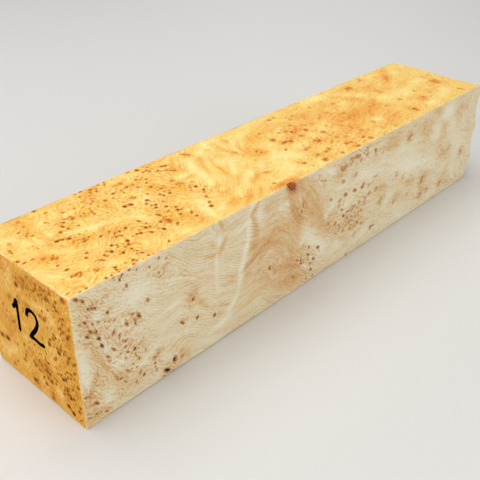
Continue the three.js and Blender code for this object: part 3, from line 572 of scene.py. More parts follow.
# The run of the grain, as u, v and its heading in degrees from u, with younger wood on its left
LAYS: dict[Side, Rows] = {Side.TOP: (
    (28, 46, 245), (25, 40, 240), (15, 36, 250), (9, 32, 255), (31, 28, 168), (20, 21, 180), (12, 15, 140),
    (5, 20, 140), (3, 10, 110), (32, 24, 203), (42, 22, 150), (55, 44, 210), (50, 38, 205), (60, 22, 185),
    (62, 9, 260), (57, 3, 225), (45, 6, 200), (73, 13, 212), (74, 7, 215), (80, 10, 225), (80, 4, 216),
    (86, 6, 220), (88, 2, 215), (76, 18, 230), (80, 21, 255), (79, 31, 245), (82, 36, 240), (86, 38, 235),
    (90, 43, 225), (94, 48, 225), (84, 25, 262), (88, 26, 262), (88, 21, 240), (92, 23, 230), (86, 15, 230),
    (91, 14, 235), (95, 18, 220), (97, 24, 225), (91, 32, 240), (94, 36, 220), (100, 38, 260),
    (106, 36, 245), (112, 33, 222), (99, 46, 240), (108, 45, 255), (110, 20, 180), (101, 14, 155),
    (104, 7, 200), (116, 44, 225), (117, 36, 215), (115, 12, 230), (130, 40, 210), (130, 12, 210),
    (145, 25, 207), (160, 38, 210), (165, 12, 205), (180, 28, 205), (200, 12, 210), (200, 40, 215),
    (220, 28, 210), (236, 14, 225), (236, 40, 220),
), Side.NEAR: (
    (3, 42, -62), (8, 30, -60), (4, 16, -80), (14, 22, -45), (16, 8, -30), (24, 40, -25), (27, 24, -25),
    (29, 6, -50), (40, 47, -35), (50, 45, -30), (47, 36, -25), (40, 32, -5), (41, 27, 8), (37, 21, 2),
    (52, 32, -12), (53, 26, -28), (57, 30, -15), (55, 20, -30), (47, 14, -25), (60, 25, -10), (60, 34, -18),
    (68, 34, -22), (66, 41, -20), (71, 41.5, -3), (66, 47, 5), (72, 46, 15), (65, 20, -20), (60, 15, -28),
    (65, 10, 8), (60, 5, 8), (48, 6, -10), (71, 12, 0), (74, 26, 32), (79, 26, 28), (79, 21, 50),
    (80, 47, 20), (77.5, 42, -55), (84, 45, -3), (91, 46, -15), (85, 40, 0), (82, 36, 18), (91, 38, -15),
    (88, 33, -18), (86, 29, 4), (92, 28, -8), (96, 34, -48), (96, 42, -55), (99, 40, -66), (103, 37, -72),
    (100, 29, -50), (108, 44, -58), (111, 37, -50), (117, 33, -42), (108, 27, -40), (115, 24, -42),
    (99, 18, -46), (93, 12, -32), (84, 9, -24), (77, 15, 25), (106, 8, -38), (118, 46, -35), (120, 14, -38),
    (128, 36, -25), (132, 18, -42), (142, 44, -30), (145, 28, -30), (148, 10, -20), (165, 38, -20),
    (165, 14, -35), (182, 28, -18), (200, 40, -45), (200, 14, -35), (218, 28, -50), (234, 40, -75),
    (234, 14, -60),
), Side.FAR: (
    (30, 15, 50), (45, 35, 10), (75, 20, -25), (105, 35, 30), (140, 15, 0), (170, 35, 50), (205, 15, -10),
    (225, 38, 35),
), Side.BASE: (
    (25, 15, -60), (50, 35, -10), (85, 20, -45), (120, 35, 0), (155, 15, -50), (190, 35, -15),
    (225, 20, -40),
)}

# Domes in the growth surfaces, whose cut shows as rings, as u, v, reach and height
DOMES: dict[Side, Rows] = {Side.NEAR: (
    (47.2, 25.8, 2.4, 3.2), (86.7, 18, 5, 3), (33.3, 42.8, 1.5, 1.4), (14.2, 12.6, 2, 1.8),
), Side.TOP: (
    (7.6, 22.4, 2, 2.2), (21.6, 22.8, 2.6, 2.2), (9.6, 7.8, 1.6, 1.8), (109.4, 26.3, 2, 1.6),
    (48.8, 12.5, 2.2, 2),
), Side.FAR: (
    (60, 30, 5, 5), (130, 20, 6, 5), (200, 30, 5, -5),
), Side.BASE: (
    (70, 25, 5, 5), (150, 25, 6, -5), (200, 18, 5, 4),
)}


@dataclass(frozen=True)
class Eye:
    """A bud eye cut through by a face: a dark core in a stained ring.

    Attributes:
        u: place along the face.
        v: place up the face.
        size: half the core's length.
        dark: how dark the core is, from 0 to 1, or more where the wood has fallen out, which paints the
            shade in the hole.
        stretch: length over width.
        lean: direction of its length, in degrees from u.
        pit: depth to which its core has fallen out.
    """

    u: float
    v: float
    size: float
    dark: float
    stretch: float = 1.15
    lean: float = 45.0
    pit: float = 0.03

    def at(self, ahead: float, aside: float) -> tuple[float, float]:
        """The u and v of a place so far along its length and to the left of it."""
        du, dv = turned(ahead, aside, -self.lean)
        return (self.u + du, self.v + dv)

    def away(self, uv: np.ndarray) -> np.ndarray:
        """Distance of places from its centre, 1 at the core's rim."""
        ahead, aside = turned(uv[:, 0] - self.u, uv[:, 1] - self.v, self.lean)
        return np.hypot(ahead, aside * self.stretch) / self.size

    def rim(self, share: float, ways: int) -> list[tuple[float, float]]:
        """Points round its centre.

        Args:
            share: their distance as a share of the core's size.
            ways: their number.

        Returns:
            The u and v of each. Beyond the core they are half a step further round.
        """
        reach = self.size * share
        angles = [2 * math.pi * (k + 0.5 * (share > 1)) / ways for k in range(ways)]
        return [self.at(reach * math.cos(a), reach * math.sin(a) / self.stretch) for a in angles]


@dataclass(frozen=True)
class Knot:
    """A small red-brown knot that comes out at an arris, an ellipsoid in a stained coat.

    Attributes:
        side: the face that its heart lies on.
        u: place of its heart along the face.
        v: place of its heart up the face.
        reach: half its length, its width and its depth.
        lean: direction of its length, in degrees from u.
    """

    side: Side = Side.NEAR
    u: float = 97.5
    v: float = 49.8
    reach: tuple[float, float, float] = (3.4, 1.7, 0.75)
    lean: float = -50.0

    def inside(self, points: np.ndarray, panels: dict[Side, Panel]) -> np.ndarray:
        """Tells how far inside the knot each point lies.

        Args:
            points: places in the blank's frame, in millimetres.
            panels: the faces.

        Returns:
            1 at its heart, 0 at its rim and at least -1.
        """
        panel = panels[self.side]
        axes = (*turned(panel.along, panel.up, self.lean), panel.along.cross(panel.up))
        offset = points - np.array(panel.at(self.u, self.v))
        away = sum((offset @ np.array(axis) / reach) ** 2 for axis, reach in zip(axes, self.reach))
        return np.maximum(1 - np.sqrt(away), -1)


@dataclass(frozen=True)
class PenNumber:
    """A plain stock number in felt pen on the sawn end, drawn as listed strokes.

    Attributes:
        strokes: the pen's path for each stroke, as u, v points.
        nib: width of the line.
        smoothness: places on the path from one point to the next.
    """

    strokes: tuple[Rows, ...] = (
        ((17.8, 31.6), (19.2, 33.2), (20.4, 35.2), (20.2, 31.0), (19.8, 27.0), (19.4, 23.0)),
        ((25.6, 32.3), (26.5, 34.4), (28.7, 35.3), (30.9, 34.2), (31.3, 31.6), (29.6, 28.4),
         (27.2, 25.6), (25.7, 23.6)),
        ((25.7, 23.6), (28.2, 23.9), (30.9, 23.5), (33.0, 23.9)),
    )
    nib: float = 1.7
    smoothness: int = 12

    def path(self, points: Rows) -> np.ndarray:
        """Smooths one stroke through its points.

        Args:
            points: the points that the pen passes.

        Returns:
            Closely spaced places along the stroke.
        """
        p = np.array([points[0], *points, points[-1]], float)
        t = np.linspace(0, 1, self.smoothness)[:, None]
        curve = [
            0.5 * (2 * b + (c - a) * t + (2 * a - 5 * b + 4 * c - d) * t ** 2
                   + (3 * b - a - 3 * c + d) * t ** 3)
            for a, b, c, d in zip(p, p[1:], p[2:], p[3:])
        ]
        return np.concatenate(curve)

    def inside(self, uv: np.ndarray) -> np.ndarray:
        """Tells how far inside the line each place lies.

        Args:
            uv: places on the sawn end.

        Returns:
            The distance from the line's edge in millimetres, negative outside it.
        """
        nearest = np.full(len(uv), np.inf)
        for place in np.concatenate([self.path(points) for points in self.strokes]):
            nearest = np.minimum(nearest, np.hypot(*(uv - place).T))
        return self.nib / 2 - nearest


@dataclass(frozen=True)
class BurlFigure:
    """What the wood holds: its eyes, its stains and the run of its growth surfaces.

    Seeded draws fill the drifts of eyes and break the largest eyes up. Everything else is listed.
    """

    seed: int = 11
    halo: float = 2.3  # an eye's stained ring is this many times as wide as its core
    slant: float = 1.15  # the near side cuts its buds at a slant, which draws their eyes out by this
    largest: float = 1.35  # a larger eye is really a cluster of small ones
    void_pit: float = 0.1  # unless its pit is deeper than this
    margin: float = 0.3  # eyes keep this far from the arrises
    apart: float = 0.55  # and this share of their sizes from each other
    stain_crowd: tuple[float, float] = (1.0, 0.7)  # how far crowding spreads, and how fast it rises
    curl_crowd: tuple[float, float] = (2.5, 0.35)  # the same, where it curls the grain
    level: tuple[float, float, float] = (0.25, -0.55, 0.8)  # mean rise of the growth surfaces
    lay_reach: float = 7.5  # how far a listed run of the grain holds
    lay_slack: float = 0.05  # how loosely the surfaces follow the runs, so that they stay smooth
    swells: Rows = ((1.1, 11.0), (0.4, 4.0))  # height and spacing of the slow swells
    knot: Knot = Knot()

    def eyes(self, panel: Panel) -> list[Eye]:
        """Draws a face's eyes.

        Args:
            panel: the face.

        Returns:
            Those that lie on it and clear of each other, the listed ones first.
        """
        rng = random.Random(f"{self.seed} {panel.side.value}")
        slant = self.slant if panel.side is Side.NEAR else 1.0
        drawn = [Eye(*row) for row in VOIDS.get(panel.side, ()) + EYES.get(panel.side, ())]
        for u, v, along, up, count, size, dark, stretch, lean in DRIFTS[panel.side]:
            drawn += [Eye(
                u + rng.gauss(0, 0.55) * along, v + rng.gauss(0, 0.55) * up,
                size * rng.uniform(0.65, 1.35), min(1.0, dark * rng.uniform(0.6, 1.2)),
                stretch * rng.uniform(0.8, 1.35), lean + rng.gauss(0, 20),
            ) for _ in range(count)]
        kept: list[Eye] = []
        for eye in (part for eye in drawn for part in self.split(eye, rng)):
            inside = (self.margin < eye.u < panel.length - self.margin
                      and self.margin < eye.v < panel.height - self.margin)
            clear = all(math.hypot(eye.u - other.u, eye.v - other.v) > self.apart * (eye.size + other.size)
                        for other in kept)
            if inside and clear:
                kept.append(replace(eye, stretch=eye.stretch * slant))
        return kept

    def split(self, eye: Eye, rng: random.Random) -> list[Eye]:
        """Breaks a large eye up into the small ones of a cluster.

        Args:
            eye: any eye.
            rng: the source of chance.

        Returns:
            The cluster, or the eye itself if it is small or a void.
        """
        if eye.size < self.largest or eye.pit > self.void_pit:
            return [eye]
        parts = []
        for _ in range(2 + round(2 * eye.size)):
            ahead = rng.uniform(-0.75, 0.75) * eye.size
            aside = rng.uniform(-0.7, 0.7) * eye.size / eye.stretch
            u, v = eye.at(ahead, aside)
            parts.append(replace(
                eye, u=u, v=v, size=eye.size * rng.uniform(0.28, 0.52),
                dark=eye.dark * rng.uniform(0.8, 1.3), stretch=1 + (eye.stretch - 1) * 0.6))
        return parts

    def growth(self, points: np.ndarray, panels: dict[Side, Panel]) -> np.ndarray:
        """Height of the growth surfaces, whose even steps are the growth lines.

        The surfaces rise by a mean slope. Each listed run of the grain tilts them round it,
        so that they lie along the run and rise by 1 mm a millimetre to its left. The tilts are
        weighed together by least squares, and domes and slow swells are added.

        Args:
            points: places in the blank's frame, in millimetres.
            panels: the faces.

        Returns:
            The height at each point, in millimetres.
        """
        places, axes, rises = [], [], []
        level = np.array(self.level)
        for side, rows in LAYS.items():
            panel = panels[side]
            for u, v, heading in rows:
                along, across = (np.array(axis) for axis in turned(panel.along, panel.up, heading))
                places += [panel.at(u, v)] * 2
                axes += [along, across]
                rises += [-level @ along, 1 - level @ across]
        place, axis = np.array([tuple(p) for p in places]), np.array(axes)
        apart = place[:, None] - place[None]
        fade = np.exp(-np.sum(apart ** 2, axis=2) / (2 * self.lay_reach ** 2))
        slant = np.einsum("ijk,ik->ij", apart, axis) * np.einsum("ijk,jk->ij", apart, axis)
        shared = (axis @ axis.T - slant / self.lay_reach ** 2) * fade
        weights = np.linalg.solve(shared + self.lay_slack * np.eye(len(rises)), np.array(rises))

        height = points @ level
        for spot, lean, weight in zip(place, axis, weights):
            offset = points - spot
            fade = np.exp(-np.sum(offset ** 2, axis=1) / (2 * self.lay_reach ** 2))
            height += weight * (offset @ lean) * fade
        for side, rows in DOMES.items():
            for u, v, reach, rise in rows:
                offset = points - np.array(panels[side].at(u, v))
                height += rise * np.exp(-np.sum(offset ** 2, axis=1) / (2 * reach ** 2))
        swell = [sum(rise * noise.noise(Vector(p) / pitch) for rise, pitch in self.swells) for p in points]
        return height + np.array(swell)

    def stain(self, side: Side, uv: np.ndarray, eyes: list[Eye]) -> np.ndarray:
        """Tells how much deeper or paler than the mean each place of a face is.

        Args:
            side: the face.
            uv: places on it.
            eyes: its eyes, which deepen the wood where they crowd.

        Returns:
            The depth, from -1 for the palest wood to 1.2 for the deepest.
        """
        depth = np.zeros(len(uv))
        for u, v, along, across, lean, amount in STAINS[side]:
            ahead, aside = turned(uv[:, 0] - u, uv[:, 1] - v, lean)
            depth += amount * np.exp(-0.8 * ((ahead / along) ** 2 + (aside / across) ** 2))
        crowd = self.crowd(uv, eyes, *self.stain_crowd)
        return np.clip(1.1 * np.tanh(depth) + 0.35 * crowd, -1.0, 1.2)

    def crowd(self, uv: np.ndarray, eyes: list[Eye], spread: float, rise: float) -> np.ndarray:
        """Tells how closely eyes crowd round each place of a face.

        Args:
            uv: places on the face.
            eyes: its eyes.
            spread: how far an eye counts beyond its own size.
            rise: how much one eye counts.

        Returns:
            0 where there are no eyes, and 1 at most.
        """
        total = np.zeros(len(uv))
        for eye in eyes:
            away = (uv[:, 0] - eye.u) ** 2 + (uv[:, 1] - eye.v) ** 2
            total += eye.dark * np.exp(-away / (2 * (spread + eye.size) ** 2))
        return np.tanh(rise * total)

    def lines(self, side: Side, uv: np.ndarray, eyes: list[Eye]) -> np.ndarray:
        """Tells how plainly the growth lines show at each place of a face.

        On the top and the near side they are plainest along one stretch and in one patch more.

        Args:
            side: the face.
            uv: places on it.
            eyes: its eyes.

        Returns:
            0 where no line shows, and about 1 at most.
        """
        u, v = uv.T
        if side in (Side.SAWN, Side.ROUGH):
            return np.full(len(uv), 0.1)
        lines = 0.1 * self.crowd(uv, eyes, *self.curl_crowd)
        if side is Side.NEAR:
            patch = np.exp(-((u - 87) / 6) ** 2 - ((v - 42) / 7) ** 2)
            middle = smoothstep((u - 22) / 14) * (1 - 0.85 * smoothstep((u - 73) / 18))
            return lines + 0.25 + 0.4 * middle + 0.35 * patch
        if side is Side.TOP:
            patch = np.exp(-((u - 8) / 9) ** 2 - ((v - 5) / 9) ** 2)
            middle = smoothstep((u - 62) / 12) * (1 - 0.9 * smoothstep((u - 92) / 16))
            return lines + 0.3 + 0.5 * middle + 0.4 * patch
        return lines + 0.4

    def cones(self, eyes: list[Eye], uv: np.ndarray) -> tuple[np.ndarray, np.ndarray, np.ndarray]:
        """Tells how near each place is to an eye.

        Args:
            eyes: the eyes of one face.
            uv: places on it.

        Returns:
            A cone that is 1 at an eye's centre and 0 at its ring's edge, how dark that eye is, and
            the depth of its pit, each for the nearest eye.
        """
        cone, dark, pit = np.full(len(uv), -0.5), np.zeros(len(uv)), np.zeros(len(uv))
        for eye in eyes:
            away = eye.away(uv)
            near = 1 - away / self.halo
            dark = np.where(near > cone, eye.dark, dark)
            cone = np.maximum(cone, near)
            pit = np.maximum(pit, eye.pit * (1 - smoothstep((away - 0.35) / 0.75)))
        return np.clip(cone, 0, 1), dark, pit


@dataclass(frozen=True)
class RoughEnd:
    """The broken end: trains of waves over a mean plane, a broken top and a chipped foot."""

    # Each train's height, spacing, place of a crest, heading in degrees from straight up, and bend
    trains: Rows = (
        (1.05, 17.5, 12.0, 0.0, 4.5),
        (0.5, 23.0, 5.0, 75.0, 3.0),
        (0.35, 8.3, 2.5, -25.0, 1.6),
    )
    bend_pitch: float = 52.0
    top_depth: float = 2.2
    top_start: float = 38.0
    top_ease: float = 0.6
    foot_depth: float = 1.4
    foot_start: float = 5.0
    out_of_square: float = 1.6
    reach: float = 20.0  # length over which the waves fade out

    def relief(self, y: np.ndarray, z: np.ndarray, section: float) -> np.ndarray:
        """How far the end stands out from its mean plane.

        Args:
            y: places across the end, from the near side.
            z: heights from the base.
            section: side of the blank's square section.

        Returns:
            The relief, in millimetres.
        """
        relief = np.zeros(len(y))
        for height, pitch, crest, heading, bend in self.trains:
            ahead, aside = turned(z, y, heading)
            bent = bend * np.sin(2 * math.pi * aside / self.bend_pitch)
            relief += height * np.cos(2 * math.pi * (ahead - crest + bent) / pitch)
        across = y / section
        top = smoothstep((z - self.top_start) / (section - self.top_start)) * (1 - self.top_ease * across)
        foot = smoothstep((self.foot_start - z) / self.foot_start)
        return relief - self.top_depth * top - self.foot_depth * foot - self.out_of_square * across


class PointBin:
    """Keeps scattered points of a face apart from each other."""

    def __init__(self, cell: float = 0.6) -> None:
        """Starts empty, with square cells of that size."""
        self.cell = cell
        self.points: list[tuple[float, float]] = []
        self.cells: dict[tuple[int, int], list[int]] = {}

    def take(self, u: float, v: float, gap: float) -> None:
        """Takes a point unless an earlier one is nearer than the gap.

        Args:
            u: place along the face.
            v: place up the face.
            gap: least distance to any earlier point.
        """
        i, j = int(u // self.cell), int(v // self.cell)
        reach = int(gap // self.cell) + 1
        for a in range(i - reach, i + reach + 1):
            for b in range(j - reach, j + reach + 1):
                for k in self.cells.get((a, b), ()):
                    if (self.points[k][0] - u) ** 2 + (self.points[k][1] - v) ** 2 < gap * gap:
                        return
        self.cells.setdefault((i, j), []).append(len(self.points))
        self.points.append((u, v))

    def triangles(self) -> tuple[np.ndarray, list[tuple[int, int, int]]]:
        """Joins the points into triangles.

        Returns:
            The points' u and v, and the triangles that have an area, each turning left.
        """
        flat = [Vector(p) for p in self.points]
        _, _, faces, origins, _, _ = delaunay_2d_cdt(flat, [], [], 0, 1e-6)
        uv = np.array([self.points[origin[0]] for origin in origins])
        kept = []
        for a, b, c in faces:
            (u1, v1), (u2, v2) = uv[b] - uv[a], uv[c] - uv[a]
            turn = u1 * v2 - v1 * u2
            if abs(turn) > 1e-9:
                kept.append((a, b, c) if turn > 0 else (a, c, b))
        return uv, kept


class Weld:
    """The points of the closed skin, where faces that meet at an arris share its points."""

    def __init__(self) -> None:
        """Starts with no points."""
        self.places: list[Vector] = []
        self.shared: dict[tuple[float, ...], int] = {}

    def number(self, place: Vector, on_arris: bool) -> int:
        """Finds or adds a point.

        Args:
            place: where it lies, in millimetres.
            on_arris: whether other faces have the point too.

        Returns:
            Its number in the skin.
        """
        key = tuple(round(c, 2) for c in place)
        if on_arris and key in self.shared:
            return self.shared[key]
        self.places.append(place)
        if on_arris:
            self.shared[key] = len(self.places) - 1
        return len(self.places) - 1


@dataclass
class BurlBlank:
    """The blank: its panels, its skin and the shaping that makes the skin a worn, sawn block.

    Attributes:
        low: lowest corner of its box, in metres.
        high: highest corner of its box.
        figure: what the wood holds.
        rough: the form of the broken end.
        number: the pen mark on the sawn end.
    """

    low: Vector
    high: Vector
    figure: BurlFigure = field(default_factory=BurlFigure)
    rough: RoughEnd = field(default_factory=RoughEnd)
    number: PenNumber = field(default_factory=PenNumber)
    mean_length: float = 245.8  # from the sawn end to the broken end's mean plane
    margin: float = 0.24  # the points inside a face keep this far from its arrises
    arris_step: float = 0.9  # spacing of the points on an arris, and of those in the rows beside it
    arris_rows: tuple[float, ...] = (0.3, 0.65, 1.1, 1.7)  # distances of those rows
    knot_reach: int = 10  # points on each side of the knot's heart
    knot_step: float = 0.4
    pen_rows: tuple[float, ...] = (-1.3, -0.8, -0.3, 0.3, 0.8, 1.3)  # points across the pen's path
    chart_gap: float = 0.9

    def panels(self) -> dict[Side, Panel]:
        """Lays out the six faces, and gives each its place on the unrolled chart.

        Returns:
            The faces by side.
        """
        low, high, gap = self.low / MM, self.high / MM, self.chart_gap
        width, height, length = high.y - low.y, high.z - low.z, self.mean_length
        x, y, z = Vector((1, 0, 0)), Vector((0, 1, 0)), Vector((0, 0, 1))
        far_x = low.x + length
        charts = [(gap, gap + row * (height + gap)) for row in range(5)]
        charts.append((width + 3 * gap, charts[4][1]))
        # Each row: side, corner, axes, sizes, painted warm light (warm top, cooler near side), end grain
        # (with some painted shade), spacing
        rows = (
            (Side.TOP, (low.x, low.y, high.z), x, y, length, width, 1.0, 0.0, 0.92),
            (Side.NEAR, (low.x, low.y, low.z), x, z, length, height, 0.0, 0.0, 0.92),
            (Side.FAR, (far_x, high.y, low.z), -x, z, length, height, 0.7, 0.0, 1.25),
            (Side.BASE, (low.x, high.y, low.z), x, -y, length, width, 0.25, 0.0, 1.3),
            (Side.SAWN, (low.x, high.y, low.z), -y, z, width, height, 1.0, 1.0, 0.8),
            (Side.ROUGH, (far_x, low.y, low.z), y, z, width, height, 1.0, 0.8, 0.8),
        )
        return {side: Panel(side, Vector(corner), along, up, size_u, size_v, chart, golden, amber, spacing)
                for (side, corner, along, up, size_u, size_v, golden, amber, spacing), chart
                in zip(rows, charts)}

    def arris(self, start: Vector, end: Vector) -> list[Vector]:
        """Spaces points evenly along an arris, the same whichever face asks for them.

        Args:
            start: one end of the arris.
            end: its other end.

        Returns:
            The points, both ends among them.
        """
        first, last = sorted((start, end), key=lambda p: tuple(round(c, 3) for c in p))
        steps = round((last - first).length / self.arris_step)
        return [first.lerp(last, i / steps) for i in range(steps + 1)]

    def scatter(self, panel: Panel, eyes: list[Eye], rng: random.Random) -> PointBin:
        """Places the points of a face: the arrises, the fine detail, then the rest.

        Args:
            panel: the face.
            eyes: its eyes.
            rng: the source of chance.

        Returns:
            The points.
        """
        points = PointBin()
        for start, end in zip(panel.corners(), panel.corners()[1:] + panel.corners()[:1]):
            for place in self.arris(start, end):
                points.take(*panel.flat(place), 0.01)
        for u, v, gap in self.inner_points(panel, eyes, rng):
            if (self.margin < u < panel.length - self.margin
                    and self.margin < v < panel.height - self.margin):
                points.take(u, v, gap)
        return points

    def inner_points(self, panel: Panel, eyes: list[Eye],
                     rng: random.Random) -> Iterator[tuple[float, float, float]]:
        """Gives the points of the eyes, the knot, the pen's strokes and the arris rows, then the rest.

        Args:
            panel: the face.
            eyes: its eyes.
            rng: the source of chance.

        Yields:
            The u and v of each point, and the gap that it keeps from earlier ones.
        """
        for eye in eyes:
            yield eye.u, eye.v, 0.2
        for eye in eyes:
            for share in (1.0, self.figure.halo):
                for u, v in eye.rim(share, 8 if eye.size > 0.6 else 6):
                    yield u, v, 0.24
        if panel.side in (Side.NEAR, Side.TOP):
            knot, reach = self.figure.knot, self.knot_reach
            u, v = panel.flat(self.panels()[knot.side].at(knot.u, knot.v))
            for i, j in np.ndindex(2 * reach + 1, 2 * reach + 1):
                yield u + (i - reach) * self.knot_step, v + (j - reach) * self.knot_step, 0.3
        if panel.side is Side.SAWN:
            for u, v in np.concatenate([self.number.path(stroke)[::2] for stroke in self.number.strokes]):
                for ahead, aside in product(self.pen_rows, repeat=2):
                    yield u + ahead, v + aside, 0.36
        for row in self.arris_rows:
            start = 0.5 if row == self.arris_rows[0] else 1.0  # all but the first are staggered
            for k in range(round(panel.length / self.arris_step)):
                for v in (row, panel.height - row):
                    yield (k + start) * self.arris_step, v, 0.27
            for k in range(round(panel.height / self.arris_step)):
                for u in (row, panel.length - row):
                    yield u, (k + start) * self.arris_step, 0.27
        step = panel.spacing
        rise = step * 0.866
        for j in range(int(panel.height / rise) + 1):
            for i in range(int(panel.length / step) + 1):
                u = (i + 0.5 * (j % 2)) * step + rng.uniform(-0.22, 0.22) * step
                yield u, j * rise + rng.uniform(-0.22, 0.22) * step, 0.62 * step

    def carried(self, panel: Panel, uv: np.ndarray, eyes: list[Eye]) -> dict[str, np.ndarray]:
        """Works out what the skin carries on one face.

        Args:
            panel: the face.
            uv: places on it.
            eyes: its eyes.

        Returns:
            The value at each place, by the attribute's name.
        """
        figure, side, all_over = self.figure, panel.side, np.ones(len(uv))
        cone, dark, pit = figure.cones(eyes, uv)
        crowd = figure.crowd(uv, eyes, *figure.curl_crowd)
        ink = self.number.inside(uv) if side is Side.SAWN else -all_over
        return {
            "eye": cone, "dark": dark, "pit": pit * MM,
            "stain": figure.stain(side, uv, eyes), "lines": figure.lines(side, uv, eyes),
            # painted light: warm on the top, cooler on the near side; amber is end grain with some painted
            # shade
            "golden": panel.golden * all_over, "amber": panel.amber * all_over,
            "crowd": crowd * (1 - 0.75 * panel.amber),  # end grain curls less
            "edge": panel.inset(uv), "ink": np.maximum(ink, -1.0),
            "torn": float(side is Side.ROUGH) * all_over,
        }

    def skin(self) -> bpy.types.Object:
        """Builds the closed skin of a sharp box, with what the wood holds stored on its points.

        Returns:
            The skin, before it is shaped.
        """
        panels = self.panels()
        rng = random.Random(self.figure.seed + 1)
        weld = Weld()
        faces: list[tuple[int, ...]] = []
        chart: list[tuple[float, float]] = []
        values: dict[str, list[np.ndarray]] = {}
        owners: list[np.ndarray] = []
        for panel in panels.values():
            eyes = self.figure.eyes(panel)
            uv, triangles = self.scatter(panel, eyes, rng).triangles()
            owner = np.array([weld.number(panel.at(*place), inset < 1e-4)
                              for place, inset in zip(uv, panel.inset(uv))])
            faces += [tuple(int(owner[k]) for k in corner) for corner in triangles]
            chart += [tuple(uv[k] + panel.chart) for corner in triangles for k in corner]
            for name, value in self.carried(panel, uv, eyes).items():
                values.setdefault(name, []).append(value)
            owners.append(owner)
            LOG.info("%s: %d eyes, %d points", panel.side.value, len(eyes), len(uv))

        mesh = bpy.data.meshes.new(PIECE)
        mesh.from_pydata([place * MM for place in weld.places], [], faces)
        owner, size = np.concatenate(owners), len(weld.places)
        count = np.bincount(owner, minlength=size)
        for name, parts in values.items():
            total = np.bincount(owner, weights=np.concatenate(parts), minlength=size)
            self.store(mesh, name, total / count)
        points = np.array([tuple(place) for place in weld.places])
        self.store(mesh, "growth", self.figure.growth(points, panels))
        self.store(mesh, "knot", self.figure.knot.inside(points, panels))
        self.store(mesh, "rough", self.rough_offset(points) * MM)
        self.unroll(mesh, chart)
        skin = bpy.data.objects.new(PIECE, mesh)
        bpy.context.scene.collection.objects.link(skin)
        return skin

    def rough_offset(self, points: np.ndarray) -> np.ndarray:
        """Works out how far each point moves along the blank to make the broken end.

        Args:
            points: places in the blank's frame, in millimetres.

        Returns:
            The move, in millimetres, which never leaves the blank's box.
        """
        low, high = self.low / MM, self.high / MM
        mean_plane = low.x + self.mean_length
        fade = smoothstep((points[:, 0] - mean_plane + self.rough.reach) / self.rough.reach)
        relief = self.rough.relief(points[:, 1] - low.y, points[:, 2] - low.z, high.y - low.y)
        return np.minimum(fade * relief, high.x - points[:, 0])

    def store(self, mesh: bpy.types.Mesh, name: str, value: np.ndarray) -> None:
        """Stores one number for each point of the skin under a name."""
        attribute = mesh.attributes.new(name, "FLOAT", "POINT")
        attribute.data.foreach_set("value", value.astype(np.float32))

    def unroll(self, mesh: bpy.types.Mesh, chart: list[tuple[float, float]]) -> None:
        """Gives the skin its own unrolled chart, with every face at one scale.

        Args:
            mesh: the skin's mesh.
            chart: each face corner's place on the chart, in millimetres.
        """
        across = 5 * (self.high.z - self.low.z) / MM + 6 * self.chart_gap
        size = max(across, self.mean_length + 2 * self.chart_gap)
        layer = mesh.uv_layers.new(name="OFBake")
        layer.data.foreach_set("uv", (np.array(chart, np.float32) / size).ravel())

    def dress(self, skin: bpy.types.Object, wood: bpy.types.Material) -> bpy.types.Object:
        """Shapes the skin with Geometry Nodes and keeps the result as a plain mesh.

        Args:
            skin: the sharp skin.
            wood: its material.

        Returns:
            The finished blank.
        """
        shaping = Shaping(wood)
        modifier = skin.modifiers.new("Shaping", "NODES")
        modifier.node_group = shaping.tree
        half = (self.high - self.low) / 2
        half.x = self.mean_length * MM / 2
        centre = Vector((self.low.x + half.x, *((self.low + self.high) / 2).yz))
        for name, value in {"Centre": centre, "Half Size": half}.items():
            modifier[shaping.identifiers[name]] = tuple(value)
        depsgraph = bpy.context.evaluated_depsgraph_get()
        shaped = bpy.data.meshes.new_from_object(skin.evaluated_get(depsgraph), depsgraph=depsgraph)
        skin.modifiers.remove(modifier)
        skin.data = shaped
        shaped.name = PIECE
        return skin


